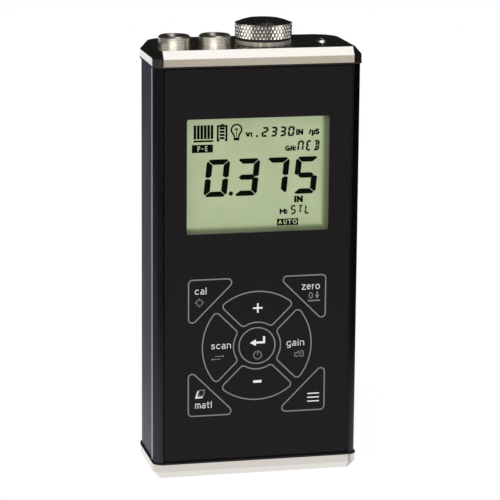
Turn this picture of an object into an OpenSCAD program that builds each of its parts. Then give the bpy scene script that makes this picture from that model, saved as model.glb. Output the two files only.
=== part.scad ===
// Hand-held ultrasonic thickness gauge, in millimetres.
// X runs to the right, Y to the back, Z up; the origin is under the middle of the bottom end cap.

/* [Case] */
// Width across the end caps
case_w = 63.5; // [62:0.5:70]
// Depth across the end caps
case_d = 31.5; // [31:0.5:36]
// Height from the bottom face to the top plate
case_h = 131; // [129:0.1:142]
// Radius of the two upright edges at the front
front_corner_r = 2.8; // [2.8:0.1:4]
// Radius of the two upright edges at the back
rear_corner_r = 9.4; // [6:0.1:10]
// Step from the end caps in to the extruded body
body_inset = 0.4; // [0.2:0.05:0.6]
// Wall of the extruded body at its sides and back
body_wall = 1.8; // [1.4:0.1:2.2]
// Wall of the extruded body behind the keypad
front_wall = 1.4; // [1.2:0.1:1.6]
// Width of the rail left at each side of the front channel
rail_w = 2.35; // [2:0.05:3]

/* [End caps] */
// Upright band of an end cap
cap_band_h = 2.3; // [1.5:0.1:3]
// Height of the bevel round an end cap
cap_bevel = 2.3; // [1.5:0.1:2.7]
// How far that bevel leans in
bevel_lean = 2; // [1.5:0.1:2.7]
// Thickness of the rubber gasket under an end cap
gasket_t = 0.4; // [0.3:0.05:0.6]
// How far a gasket stands out past the end cap
gasket_proud = 0.1; // [0:0.05:0.2]
// How far the locating bars of an end cap reach into the body
bar_depth = 2.4; // [1.5:0.1:3]
// Radius of the cap screws' threaded part
screw_r = 1.2; // [1:0.05:1.4]
// Radius of a screw head
screw_head_r = 1.6; // [1.5:0.05:2]
// Height of the domed screw heads on the top plate
screw_head_h = 0.7; // [0.5:0.05:1]
// Length of a cap screw inside the body
screw_bite = 8; // [6:0.5:12]
// Distance of the right-hand screw from the right side of the case
screw_margin = 9.3; // [8.5:0.1:10]
// Distance of the right-hand screw ahead of the middle of the case
screw_ahead = 1.2; // [0:0.1:3]
// Distance of the left-hand screw to the right of the left socket
screw_beside = 2.2; // [1:0.1:4]
// Distance of the left-hand screw from the back wall
screw_rear = 3.95; // [3.5:0.05:4.5]

/* [Front panel] */
// How far the overlay lies below the rails
overlay_sink = 0.2; // [0.1:0.05:0.3]
// Thickness of the printed overlay and of its keys
overlay_t = 0.6; // [0.5:0.05:0.8]
// Gap between the overlay and the channel that it lies in
overlay_gap = 0.5; // [0.3:0.05:0.7]
// Thickness of the frame between the overlay and the key circuit
spacer_t = 0.8; // [0.75:0.05:1]
// Thickness of the key circuit
circuit_t = 0.4; // [0.3:0.05:0.6]

/* [Keys] */
// Radius of the round key in the middle
enter_r = 5.8; // [5:0.1:6.2]
// Inner radius of the four curved keys
ring_in_r = 7.1; // [6.9:0.1:7.6]
// Outer radius of the four curved keys
ring_r = 17.1; // [16:0.1:17.2]
// Space between two neighbouring curved keys
key_split = 1.7; // [1.4:0.1:2.4]
// Distance from the keypad's centre to the outer sides of the corner keys
corner_reach = 21.4; // [21.2:0.1:22]
// Length of a corner key's straight side before its tips are rounded
corner_leg = 15.6; // [14:0.1:15.7]
// Radius at the corners of a key
key_round = 1.4; // [1:0.1:1.6]
// Slit between a key and the overlay
key_gap = 0.12; // [0.08:0.01:0.2]
// Travel of a key
key_travel = 0.3; // [0.2:0.05:0.35]
// Radius of a metal dome under a key
dome_r = 2.6; // [2:0.1:3]
// Height of a metal dome
dome_h = 0.3; // [0.2:0.05:0.35]

/* [Display] */
// Width of the window
window_w = 43.6; // [40:0.2:44]
// Height of the window
window_h = 34.9; // [32:0.1:36]
// Drop from the top plate to the window's upper edge
window_drop = 20.45; // [19:0.05:22]
// Corner radius of the window
window_round = 0.7; // [0.5:0.1:1.5]
// Width of the window's hidden edge behind the overlay
window_edge = 1; // [0.8:0.1:1.4]
// Depth from the overlay's face to the display glass
display_depth = 5.4; // [5:0.1:5.6]
// Thickness of the display glass
glass_t = 1.6; // [1.2:0.1:1.6]
// Thickness of the backlight plate
backlight_t = 1.2; // [0.8:0.1:1.2]
// Wall of the display's frame
bezel_wall = 0.9; // [0.7:0.1:1.2]
// How far the walls of the recess lean in on their way to the glass
bezel_draft = 0.7; // [0.2:0.1:0.9]

/* [Sockets] */
// Radius of a socket's nose
socket_r = 4.85; // [4.6:0.05:5]
// Height of a socket's nose above the top plate
socket_h = 2.7; // [2.4:0.1:4]
// Radius of a socket's threaded barrel
barrel_r = 3.5; // [3.2:0.1:3.8]
// Radius of the bore that takes a probe plug
plug_r = 2.1; // [1.8:0.05:2.3]
// Depth of that bore below the lead-in of the socket's mouth
plug_depth = 6.5; // [5:0.1:7]
// Distance from the left side of the case to the left socket
socket_margin = 9.05; // [8.5:0.05:9.5]
// Distance between the two sockets
socket_pitch = 12.4; // [12:0.1:12.6]
// Distance from the battery cap's axis to the nearer socket
socket_to_battery = 15.4; // [15.2:0.1:15.6]

/* [Battery] */
// Room between the display's frame and the battery tube
tube_room = 0.94; // [0.6:0.02:1.4]
// Radius of an AA cell
cell_r = 7.1; // [6.9:0.05:7.15]
// Length of an AA cell with its contact
cell_l = 50.5; // [49.5:0.1:50.5]
// Room between a cell and the battery tube
cell_slack = 0.25; // [0.15:0.05:0.4]
// Wall of the battery tube
tube_wall = 0.6; // [0.5:0.05:0.7]
// Height of the tube's collar on the top plate
collar_h = 0.6; // [0.2:0.05:0.8]
// Radius of the knurled battery cap
knob_r = 8.7; // [8.6:0.05:9]
// Height of the knurled band
knurl_h = 4.2; // [3.5:0.1:5]
// Depth of the knurl
knurl_depth = 0.38; // [0.2:0.02:0.5]
// Number of diamonds round the knurl
knurl_count = 46; // [36:1:60]
// Height of a diamond of the knurl for each millimetre of its width
knurl_slope = 1.75; // [1:0.05:2]
// Height of the domed crown above the knurl
crown_h = 1.05; // [0.6:0.05:1.6]
// Radius of the flat disc on the crown
crown_r = 5.3; // [5:0.1:7]
// Thickness of the sealing ring under the battery cap
seal_t = 0.9; // [0.7:0.05:1.1]
// Radius of the battery spring's coil
spring_r = 4.6; // [3:0.1:6]
// Wire radius of the battery spring
wire_r = 0.45; // [0.3:0.05:0.6]

/* [Hidden] */
// Facets of a full turn where a shape is built from points
$fn = 64;
// Room between pieces that slide together
fit_gap = 0.1;
// Room between faces that rest on each other
rest_gap = 0.02;
// How far a cutting shape runs past the face that it cuts
cut_over = 1;

// Heights of the caps and the body
cap_h = cap_band_h + cap_bevel;
top_seat = case_h - cap_h;
body_z0 = cap_h + gasket_t;
body_z1 = top_seat - gasket_t;
body_len = body_z1 - body_z0;

// Locating bars of the caps
bar_w = 26;
bar_t = 1.5;

// The body's outline and its hollow
body_w = case_w - 2 * body_inset;
body_d = case_d - 2 * body_inset;
body_front = -body_d / 2;
channel_depth = overlay_sink + overlay_t + spacer_t + circuit_t;
channel_w = body_w - 2 * rail_w;
hollow_w = body_w - 2 * body_wall;
hollow_front = body_front + channel_depth + front_wall;
hollow_rear = body_d / 2 - body_wall;
hollow_rear_r = rear_corner_r - body_inset - body_wall;
hollow_front_r = 0.6;
panel_round = 1;

// The stack of sheets at the front, counted inward from the overlay's face
overlay_front = body_front + overlay_sink;
overlay_w = channel_w - 2 * overlay_gap;
overlay_z0 = body_z0 + overlay_gap;
overlay_z1 = body_z1 - overlay_gap;
overlay_mid = (overlay_z0 + overlay_z1) / 2;
circuit_at = overlay_t + spacer_t;
wall_at = circuit_at + circuit_t;
cavity_at = wall_at + front_wall;

// Window and display
window_z = case_h - window_drop - window_h / 2;
window_room = 2 * (window_edge + fit_gap);
bezel_out = 2 * bezel_wall;
glass_edge = 1.5;
glass_round = 0.5;
glass_w = window_w + 2 * glass_edge;
glass_h = window_h + 2 * glass_edge;
frame_w = glass_w + 2 * fit_gap + bezel_out;
frame_h = glass_h + 2 * fit_gap + bezel_out;
frame_round = 1.2;
neck_hole_w = window_w + bezel_out + 2 * fit_gap;
neck_hole_h = window_h + bezel_out + 2 * fit_gap;
frame_back = display_depth + glass_t + backlight_t + 3 * rest_gap;

// Keys: the domes sit under the middle of each key
corner_dome = corner_reach - 0.31 * corner_leg;
ring_dome = (ring_in_r + ring_r) / 2;
keypad_z = (window_z - window_h / 2 + overlay_z0) / 2;
keypad_margin = 0.6;
keypad_opening = 2 * (corner_reach + keypad_margin);
nub_r = 1.4;
nub_h = spacer_t - dome_h - key_travel - rest_gap;

// Places on the top plate
socket_y = 0;
left_socket_x = socket_margin - case_w / 2;
right_socket_x = left_socket_x + socket_pitch;
tube_in_r = cell_r + cell_slack;
tube_r = tube_in_r + tube_wall;
battery_x = right_socket_x + socket_to_battery;
battery_y = overlay_front + frame_back + tube_room + tube_r;
screw_places = [
  [case_w / 2 - screw_margin, -screw_ahead],
  [left_socket_x + screw_beside, hollow_rear - screw_rear]
];
boss_wall = 1.4;
boss_r = screw_r + boss_wall;
web_t = 1.6;
screw_slack = 0.03;
screw_socket_r = 0.75;

// Socket: lead-in at the mouth, the plug's bore, then the seat of the insulator
socket_top = case_h + socket_h;
mouth_h = 1.1;
mouth_r = 3.5;
plug_floor = socket_top - mouth_h - plug_depth;
plug_step = 0.4;
insulator_r = plug_r - plug_step;
slip_gap = 0.03;
insulator_l = 9;
socket_tail = plug_floor - insulator_l;
contact_r = 0.6;
contact_bore_r = 0.35;
contact_tail = 2.5;
contact_l = insulator_l + contact_tail;
contact_bore_l = 6;
nut_t = 2;
nut_r = 5.2;
nose_bevel = 0.5;
groove_depth = 0.15;
groove_count = 3;
groove_pitch = (socket_h - nose_bevel) / (groove_count + 1);
groove_z = case_h + 0.75 * groove_pitch;

// Battery tube, from the bottom plug to the collar on the top plate
collar_edge = 0.5;
collar_r = tube_r + collar_edge;
collar_top = case_h + collar_h;
stem_r = tube_in_r - fit_gap;
stem_l = 4.4;
seal_slack = 0.06;
seal_in = stem_r + seal_slack;
knob_z0 = collar_top + seal_t;
knurl_z1 = knob_z0 + knurl_h;
knob_top = knurl_z1 + crown_h;
crown_bend = 0.62;
stem_bottom = knob_z0 - stem_l;
stem_nub_l = 1.2;
cell_top = stem_bottom - stem_nub_l;
cell_nub_l = 1.3;
cell_edge = 0.6;
cell_nub_r = 2.6;
lower_cell_top = cell_top - cell_l - rest_gap;
cell_bottom = lower_cell_top - cell_l;
plug_base = cap_h + rest_gap;
plug_room = cell_bottom - plug_base;
plug_flange_h = plug_room * 0.19;
plug_top = plug_base + plug_room * 0.58;
spring_turns = 5;

// Circuit board, held in grooves of the body behind the keypad
board_t = 1.6;
board_room = 0.9;
board_back = battery_y - tube_r - board_room;
board_front = board_back - board_t;
board_w = hollow_w - 4 * fit_gap;
board_z0 = cap_h + gasket_t + bar_depth + board_room;
board_z1 = window_z - frame_h / 2 - board_room;
board_h = board_z1 - board_z0;
chip_h = 1.3;
lead_pitch = 1;
can_h = 2;
can_r = 1.8;
guide_w = 1.8;
guide_t = 1;
tail_drop = 4;
tail_z = board_z1 - tail_drop;
tail_w = 14;
tail_t = 0.25;
tail_room = 0.5;
tail_socket_d = 1.6;
tail_socket_h = 3;
tail_socket_edge = 1;
ribbon_x = (left_socket_x + right_socket_x) / 2;
ribbon_w = 8;
ribbon_t = 0.2;
ribbon_socket_d = 1.5;
ribbon_socket_l = 4;
ribbon_socket_edge = 0.5;
ribbon_z1 = window_z - window_h / 4;
ribbon_overlap = 5;
ribbon_z0 = board_z1 - ribbon_overlap;
ribbon_y = max(board_back, overlay_front + frame_back) + rest_gap;

// Leads from the sockets to the board
lead_r = 0.85;
lead_overlap = 10;
lead_z1 = socket_tail - contact_tail - rest_gap;
lead_z0 = board_z1 - lead_overlap;
lead_end_y = board_back + lead_r + rest_gap;

// Points of an arc round a centre
function arc(c, r, a0, a1, n) = [for (i = [0:n]) let (a = a0 + (a1 - a0) * i / n) c + r * [cos(a), sin(a)]];

// Rectangle with one radius at its two front corners and another at its two rear corners
module rounded_outline(w, d, front_r, rear_r) {
  x = w / 2;
  y = d / 2;
  polygon([
    [-x, front_r - y], [front_r - x, -y], [x - front_r, -y], [x, front_r - y],
    [x, y - rear_r], [x - rear_r, y], [rear_r - x, y], [-x, y - rear_r]
  ]);
  for (side = [-1, 1]) {
    translate([side * (x - front_r), front_r - y]) circle(front_r);
    translate([side * (x - rear_r), y - rear_r]) circle(rear_r);
  }
}

module hollow_outline() {
  translate([0, (hollow_front + hollow_rear) / 2])
    rounded_outline(hollow_w, hollow_rear - hollow_front, hollow_front_r, hollow_rear_r);
}

// Rectangle on the front face, drawn in X and Z
module front_rectangle(w, h, z, r) {
  translate([0, z]) rounded_outline(w, h, r, r);
}

// A sheet drawn in X and Z, with its front face at a depth behind the overlay's face
module front_sheet(depth, t) {
  translate([0, overlay_front + depth + t, 0]) rotate([90, 0, 0]) linear_extrude(t) children();
}

// Outline of a curved key that points along X, grown by a margin
function ring_key_points(grow) =
  let (
    outer = ring_r + grow,
    inner = ring_in_r - grow,
    fillet = key_round + grow,
    side = (key_split / 2 - grow + fillet) * sqrt(2),
    far_y = (sqrt(2 * pow(outer - fillet, 2) - side * side) - side) / 2,
    near_y = (sqrt(2 * pow(inner + fillet, 2) - side * side) - side) / 2,
    far = [far_y + side, far_y],
    near = [near_y + side, near_y],
    far_a = atan2(far[1], far[0]),
    near_a = atan2(near[1], near[0])
  )
  concat(
    arc([0, 0], outer, -far_a, far_a, 16),
    arc(far, fillet, far_a, 135, 5),
    arc(near, fillet, 135, near_a + 180, 4),
    arc([0, 0], inner, near_a, -near_a, 4),
    arc([near[0], -near[1]], fillet, 180 - near_a, 225, 4),
    arc([far[0], -far[1]], fillet, 225, 360 - far_a, 5)
  );

// Outline of the corner key whose right angle points to +X and +Z, grown by a margin
function corner_key_points(grow) =
  let (
    fillet = key_round + grow,
    tip = corner_reach + grow,
    leg = corner_leg + grow * (2 + sqrt(2)),
    inset = fillet / tan(22.5)
  )
  concat(
    arc([tip - fillet, tip - fillet], fillet, 0, 90, 6),
    arc([tip - leg + inset, tip - fillet], fillet, 90, 225, 8),
    arc([tip - fillet, tip - leg + inset], fillet, 225, 360, 8)
  );

module ring_key_shape(angle, grow = 0) {
  translate([0, keypad_z]) rotate(angle) polygon(ring_key_points(grow));
}

module corner_key_shape(angle, grow = 0) {
  translate([0, keypad_z]) rotate(angle) polygon(corner_key_points(grow));
}

module enter_key_shape(grow = 0) {
  translate([0, keypad_z]) circle(enter_r + grow);
}

// Where each dome sits, from the keypad's centre
dome_places = concat(
  [[0, 0]],
  [for (a = [0:90:270]) ring_dome * [cos(a), sin(a)]],
  [for (a = [0:90:270]) corner_dome * sqrt(2) * [cos(a + 45), sin(a + 45)]]
);

// Closed tube of triangles through rings of points, wound for a path that runs upward
function tube_faces(rings, sides) = concat(
  [for (i = [0:rings - 2], k = [0:sides - 1])
    [i * sides + k, (i + 1) * sides + k, (i + 1) * sides + (k + 1) % sides]],
  [for (i = [0:rings - 2], k = [0:sides - 1])
    [i * sides + k, (i + 1) * sides + (k + 1) % sides, i * sides + (k + 1) % sides]],
  [[for (k = [0:sides - 1]) k]],
  [[for (k = [sides - 1:-1:0]) (rings - 1) * sides + k]]
);

// Case

module screw_boss(place, wall_side) {
  translate(place) circle(boss_r);
  if (wall_side == "right") {
    translate([place[0], place[1] - web_t / 2]) square([hollow_w / 2 + body_wall / 2 - place[0], web_t]);
  } else {
    translate([place[0] - web_t / 2, place[1]]) square([web_t, hollow_rear + body_wall / 2 - place[1]]);
  }
}

// Grooves that hold the two long edges of the circuit board
module board_guides() {
  for (side = [-1, 1], y = [board_front - fit_gap - guide_t, board_back + fit_gap]) {
    translate([side * (hollow_w / 2 - guide_w / 2 + body_wall / 4), y + guide_t / 2])
      square([guide_w + body_wall / 2, guide_t], center = true);
  }
}

module housing_profile() {
  difference() {
    union() {
      difference() {
        rounded_outline(body_w, body_d, front_corner_r - body_inset, rear_corner_r - body_inset);
        hollow_outline();
      }
      screw_boss(screw_places[0], "right");
      screw_boss(screw_places[1], "rear");
      board_guides();
    }
    translate([-channel_w / 2, body_front - cut_over]) square([channel_w, channel_depth + cut_over]);
    for (place = screw_places) translate(place) circle(screw_r + screw_slack);
  }
}

module housing() {
  color("#1b1a1d")
  difference() {
    translate([0, 0, body_z0]) linear_extrude(body_len) housing_profile();
    front_sheet(wall_at - cut_over / 2, front_wall + cut_over)
      front_rectangle(neck_hole_w, neck_hole_h, window_z, panel_round);
    front_sheet(wall_at - cut_over / 2, front_wall + cut_over)
      front_rectangle(tail_w + 2 * tail_room, tail_t + 2 * tail_room, tail_z, tail_room);
  }
}

// Blank of an end cap, with its seat at zero and its bevelled face up
module cap_blank() {
  x = case_w / 2;
  y = case_d / 2;
  corners = [
    [front_corner_r - x, front_corner_r - y, front_corner_r],
    [x - front_corner_r, front_corner_r - y, front_corner_r],
    [x - rear_corner_r, y - rear_corner_r, rear_corner_r],
    [rear_corner_r - x, y - rear_corner_r, rear_corner_r]
  ];
  hull() {
    for (corner = corners) {
      translate([corner[0], corner[1], 0]) cylinder(h = cap_band_h, r = corner[2]);
      translate([corner[0], corner[1], cap_band_h])
        cylinder(h = cap_bevel, r1 = corner[2], r2 = corner[2] - bevel_lean);
    }
  }
}

// Bars under a cap that locate it at the front and back walls of the hollow
module cap_bars() {
  translate([0, 0, -gasket_t - bar_depth]) linear_extrude(gasket_t + bar_depth + cut_over / 2) {
    translate([-bar_w / 2, hollow_front + fit_gap]) square([bar_w, bar_t]);
    translate([-bar_w / 2, hollow_rear - fit_gap - bar_t]) square([bar_w, bar_t]);
  }
}

module top_end_cap() {
  drill = cap_h + 2 * cut_over;
  color("#c9c6c0")
  translate([0, 0, top_seat])
  difference() {
    union() {
      cap_blank();
      cap_bars();
    }
    for (x = [left_socket_x, right_socket_x])
      translate([x, socket_y, -cut_over]) cylinder(h = drill, r = barrel_r + fit_gap);
    translate([battery_x, battery_y, -cut_over]) cylinder(h = drill, r = tube_r + fit_gap);
    for (place = screw_places)
      translate([place[0], place[1], -cut_over]) cylinder(h = drill, r = screw_r + fit_gap);
  }
}

module bottom_end_cap() {
  drill = cap_h + 2 * cut_over;
  sink = screw_head_r - screw_r;
  color("#c9c6c0")
  difference() {
    translate([0, 0, cap_h]) mirror([0, 0, 1]) {
      cap_blank();
      cap_bars();
    }
    for (place = screw_places) {
      translate([place[0], place[1], -cut_over]) cylinder(h = drill, r = screw_r + fit_gap);
      translate([place[0], place[1], -cut_over])
        cylinder(h = cut_over + 2 * fit_gap, r = screw_head_r + fit_gap);
      translate([place[0], place[1], 2 * fit_gap])
        cylinder(h = sink, r1 = screw_head_r + fit_gap, r2 = screw_r + fit_gap);
    }
  }
}

module gasket(z) {
  grow = 2 * gasket_proud;
  color("#141414")
  translate([0, 0, z + rest_gap])
  linear_extrude(gasket_t - 2 * rest_gap)
  difference() {
    rounded_outline(
      case_w + grow, case_d + grow, front_corner_r + gasket_proud, rear_corner_r + gasket_proud
    );
    hollow_outline();
  }
}

module top_gasket() {
  gasket(body_z1);
}

module bottom_gasket() {
  gasket(cap_h);
}

module top_cap_screws() {
  shank = cap_h + gasket_t + screw_bite;
  color("#dad8d4")
  for (place = screw_places) translate([place[0], place[1], case_h + rest_gap]) difference() {
    rotate_extrude() polygon([
      [0, -shank], [screw_r, -shank], [screw_r, 0], [screw_head_r, 0], [screw_head_r, 0.3 * screw_head_h],
      [0.85 * screw_head_r, 0.75 * screw_head_h], [0.55 * screw_head_r, screw_head_h], [0, screw_head_h]
    ]);
    translate([0, 0, 0.4 * screw_head_h]) cylinder(h = screw_head_h, r = screw_socket_r, $fn = 6);
  }
}

module bottom_cap_screws() {
  sink = screw_head_r - screw_r;
  shank = cap_h + gasket_t + screw_bite;
  color("#dad8d4")
  for (place = screw_places) translate([place[0], place[1], fit_gap]) difference() {
    rotate_extrude() polygon([
      [0, 0], [screw_head_r, 0], [screw_head_r, fit_gap], [screw_r, fit_gap + sink],
      [screw_r, shank], [0, shank]
    ]);
    translate([0, 0, -screw_head_h]) cylinder(h = 2 * screw_head_h, r = screw_socket_r, $fn = 6);
  }
}

// Keypad

module keypad_overlay() {
  color("#231f20")
  front_sheet(0, overlay_t)
  difference() {
    front_rectangle(overlay_w, overlay_z1 - overlay_z0, overlay_mid, panel_round);
    front_rectangle(window_w, window_h, window_z, window_round);
    enter_key_shape(key_gap);
    for (a = [0:90:270]) {
      ring_key_shape(a, key_gap);
      corner_key_shape(a, key_gap);
    }
  }
}

module keypad_spacer() {
  color("#2c2c30")
  front_sheet(overlay_t + rest_gap, spacer_t - 2 * rest_gap)
  difference() {
    front_rectangle(overlay_w, overlay_z1 - overlay_z0, overlay_mid, panel_round);
    front_rectangle(window_w + window_room, window_h + window_room, window_z, window_round);
    front_rectangle(keypad_opening, keypad_opening, keypad_z, key_round);
  }
}

module keypad_circuit() {
  color("#b98a3a")
  front_sheet(circuit_at, circuit_t - rest_gap)
  difference() {
    front_rectangle(overlay_w, overlay_z1 - overlay_z0, overlay_mid, panel_round);
    front_rectangle(neck_hole_w, neck_hole_h, window_z, window_round);
  }
}

module key_domes() {
  color("#c8c8cc")
  for (place = dome_places)
    translate([place[0], overlay_front + circuit_at - rest_gap, keypad_z + place[1]])
      rotate([90, 0, 0]) cylinder(h = dome_h, r1 = dome_r, r2 = dome_r / 2);
}

// Ribbon of the key circuit, through the slot in the body to the board
module keypad_tail() {
  y0 = overlay_front + wall_at;
  color("#b98a3a")
  translate([-tail_w / 2, y0, tail_z - tail_t / 2])
    cube([tail_w, board_front - tail_socket_d - y0 - rest_gap, tail_t]);
}

module keypad_tail_socket() {
  color("#e6e2d6")
  translate([-tail_w / 2 - tail_socket_edge, board_front - tail_socket_d, tail_z - tail_socket_h / 2])
    cube([tail_w + 2 * tail_socket_edge, tail_socket_d - rest_gap, tail_socket_h]);
}

// A key: its plate lies in the overlay, and its nub faces the dome
module key_with_nub(place) {
  color("#231f20") {
    front_sheet(0, overlay_t) children();
    translate([place[0], overlay_front + overlay_t / 2, keypad_z + place[1]])
      rotate([-90, 0, 0]) cylinder(h = overlay_t / 2 + nub_h, r = nub_r);
  }
}

module ring_key(angle) {
  key_with_nub(ring_dome * [cos(angle), sin(angle)]) ring_key_shape(angle);
}

module corner_key(angle) {
  key_with_nub(corner_dome * sqrt(2) * [cos(angle + 45), sin(angle + 45)]) corner_key_shape(angle);
}

module key_zero() {
  corner_key(0);
}

module key_cal() {
  corner_key(90);
}

module key_material() {
  corner_key(180);
}

module key_menu() {
  corner_key(270);
}

module key_gain() {
  ring_key(0);
}

module key_plus() {
  ring_key(90);
}

module key_scan() {
  ring_key(180);
}

module key_minus() {
  ring_key(270);
}

module key_enter() {
  key_with_nub([0, 0]) enter_key_shape();
}

// Display

module display_window() {
  color("#dfe6e2", 0.35) {
    front_sheet(0, overlay_t + spacer_t / 2)
      front_rectangle(window_w - 2 * fit_gap, window_h - 2 * fit_gap, window_z, window_round);
    front_sheet(overlay_t + rest_gap, spacer_t - 2 * rest_gap)
      front_rectangle(window_w + 2 * window_edge, window_h + 2 * window_edge, window_z, window_round);
  }
}

// Frame round the display: a neck through the body's wall, a flange behind it, and a pocket for the glass
// The recess in front of the glass: four flat walls that lean in by the draft
module recess_taper(front, back) {
  lean = bezel_draft / (display_depth - circuit_at);
  function corners(depth) =
    let (
      x = window_w / 2 - lean * (depth - circuit_at),
      z = window_h / 2 - lean * (depth - circuit_at),
      y = overlay_front + depth
    )
    [[-x, y, window_z - z], [x, y, window_z - z], [x, y, window_z + z], [-x, y, window_z + z]];
  polyhedron(
    concat(corners(front), corners(back)),
    [[3, 2, 1, 0], [4, 5, 6, 7], [1, 5, 4, 0], [2, 6, 5, 1], [3, 7, 6, 2], [0, 4, 7, 3]]
  );
}

module display_bezel() {
  neck_at = circuit_at;
  flange_at = cavity_at + rest_gap;
  pocket_at = display_depth - rest_gap;
  color("#4a4a44")
  difference() {
    union() {
      front_sheet(neck_at, flange_at + cut_over / 2 - neck_at)
        front_rectangle(window_w + bezel_out, window_h + bezel_out, window_z, window_round + bezel_wall);
      front_sheet(flange_at, frame_back - flange_at)
        front_rectangle(frame_w, frame_h, window_z, frame_round);
    }
    recess_taper(neck_at - cut_over, pocket_at + cut_over);
    front_sheet(pocket_at, frame_back - pocket_at + cut_over)
      front_rectangle(glass_w + 2 * fit_gap, glass_h + 2 * fit_gap, window_z, glass_round);
  }
}

module display_glass() {
  color("#acb893")
  front_sheet(display_depth, glass_t) front_rectangle(glass_w, glass_h, window_z, glass_round);
}

module display_backlight() {
  color("#e8ebdc")
  front_sheet(display_depth + glass_t + rest_gap, backlight_t)
    front_rectangle(glass_w, glass_h, window_z, glass_round);
}

module display_ribbon() {
  color("#b98a3a")
  translate([ribbon_x - ribbon_w / 2, ribbon_y, ribbon_z0]) cube([ribbon_w, ribbon_t, ribbon_z1 - ribbon_z0]);
}

module display_ribbon_socket() {
  color("#e6e2d6")
  translate([
    ribbon_x - ribbon_w / 2 - ribbon_socket_edge,
    board_back + rest_gap,
    ribbon_z0 - ribbon_socket_l - rest_gap
  ])
    cube([ribbon_w + 2 * ribbon_socket_edge, ribbon_socket_d, ribbon_socket_l]);
}

module main_board() {
  color("#1f5a3c")
  translate([-board_w / 2, board_front, board_z0]) cube([board_w, board_t, board_h]);
}

// Each chip has its place as a share of the board, and its size as a number of leads
module board_chips() {
  chips = [[-0.2, 0.25, 14, 14], [0.15, 0.22, 10, 6], [0.15, 0.41, 10, 8], [-0.24, 0.52, 8, 6]];
  color("#202226")
  for (chip = chips)
    translate([
      chip[0] * board_w - chip[2] * lead_pitch / 2, board_front - chip_h - rest_gap,
      board_z0 + chip[1] * board_h - chip[3] * lead_pitch / 2
    ])
      cube([chip[2] * lead_pitch, chip_h, chip[3] * lead_pitch]);
}

module board_capacitors() {
  cans = [[0.34, 0.14], [0.34, 0.24], [0.34, 0.34], [-0.38, 0.41], [-0.38, 0.63]];
  color("#8a8f96")
  for (can = cans)
    translate([can[0] * board_w, board_front - rest_gap, board_z0 + can[1] * board_h])
      rotate([90, 0, 0]) cylinder(h = can_h, r = can_r);
}

// Sockets

module socket_shell(x) {
  color("#cfccc6")
  translate([x, socket_y, 0])
  difference() {
    rotate_extrude() polygon([
      [insulator_r, socket_tail], [barrel_r, socket_tail], [barrel_r, case_h + rest_gap],
      [socket_r, case_h + rest_gap], [socket_r, socket_top - nose_bevel], [socket_r - nose_bevel, socket_top],
      [mouth_r, socket_top], [plug_r, socket_top - mouth_h], [plug_r, plug_floor], [insulator_r, plug_floor]
    ]);
    for (i = [0:groove_count - 1])
      translate([0, 0, groove_z + i * groove_pitch]) rotate_extrude()
        polygon([
          [socket_r + fit_gap, 0], [socket_r - groove_depth, groove_pitch / 4],
          [socket_r + fit_gap, groove_pitch / 2]
        ]);
  }
}

module socket_insulator(x) {
  color("#e9e7e0")
  translate([x, socket_y, socket_tail]) difference() {
    cylinder(h = insulator_l, r = insulator_r - slip_gap);
    translate([0, 0, -cut_over]) cylinder(h = insulator_l + 2 * cut_over, r = contact_r + slip_gap);
  }
}

module socket_contact(x) {
  color("#c9a24a")
  translate([x, socket_y, plug_floor - contact_l]) difference() {
    cylinder(h = contact_l, r = contact_r);
    translate([0, 0, contact_l - contact_bore_l]) cylinder(h = contact_bore_l + cut_over, r = contact_bore_r);
  }
}

module socket_nut(x) {
  color("#b9b6b0")
  translate([x, socket_y, top_seat - nut_t - rest_gap]) difference() {
    rotate(90) cylinder(h = nut_t, r = nut_r, $fn = 6);
    translate([0, 0, -cut_over]) cylinder(h = nut_t + 2 * cut_over, r = barrel_r + slip_gap);
  }
}

// Route of a lead: straight down from the contact, forward to the board's back, then along it
lead_steps = 16;
function lead_bend(t) = (1 - cos(180 * min(max((t - 0.4) / 0.45, 0), 1))) / 2;
function lead_point(x, t) =
  [x, socket_y + (lead_end_y - socket_y) * lead_bend(t), lead_z1 + (lead_z0 - lead_z1) * t];

module socket_lead(x) {
  sides = 10;
  step = 0.001;
  points = [for (i = [0:lead_steps], k = [0:sides - 1])
    let (
      t = 1 - i / lead_steps,
      run = lead_point(x, t - step) - lead_point(x, t + step),
      along = run / norm(run),
      across = [1, 0, 0],
      out = cross(along, across),
      a = 360 * k / sides
    )
    lead_point(x, t) + lead_r * (cos(a) * across + sin(a) * out)];
  color("#3a3d44") polyhedron(points, tube_faces(lead_steps + 1, sides));
}

module left_socket_shell() {
  socket_shell(left_socket_x);
}

module right_socket_shell() {
  socket_shell(right_socket_x);
}

module left_socket_insulator() {
  socket_insulator(left_socket_x);
}

module right_socket_insulator() {
  socket_insulator(right_socket_x);
}

module left_socket_contact() {
  socket_contact(left_socket_x);
}

module right_socket_contact() {
  socket_contact(right_socket_x);
}

module left_socket_nut() {
  socket_nut(left_socket_x);
}

module right_socket_nut() {
  socket_nut(right_socket_x);
}

module left_socket_lead() {
  socket_lead(left_socket_x);
}

module right_socket_lead() {
  socket_lead(right_socket_x);
}

// Battery compartment

module battery_tube() {
  tube_z0 = plug_base + plug_flange_h + rest_gap;
  seat = case_h + rest_gap;
  color("#9a9da3")
  translate([battery_x, battery_y, 0]) rotate_extrude() polygon([
    [tube_in_r, tube_z0], [tube_r, tube_z0], [tube_r, seat], [collar_r, seat],
    [collar_r, collar_top], [tube_in_r, collar_top]
  ]);
}

module battery_plug() {
  color("#d9d6cc")
  translate([battery_x, battery_y, 0]) rotate_extrude() polygon([
    [0, plug_base], [tube_r, plug_base], [tube_r, plug_base + plug_flange_h],
    [stem_r, plug_base + plug_flange_h], [stem_r, plug_top], [0, plug_top]
  ]);
}

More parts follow.
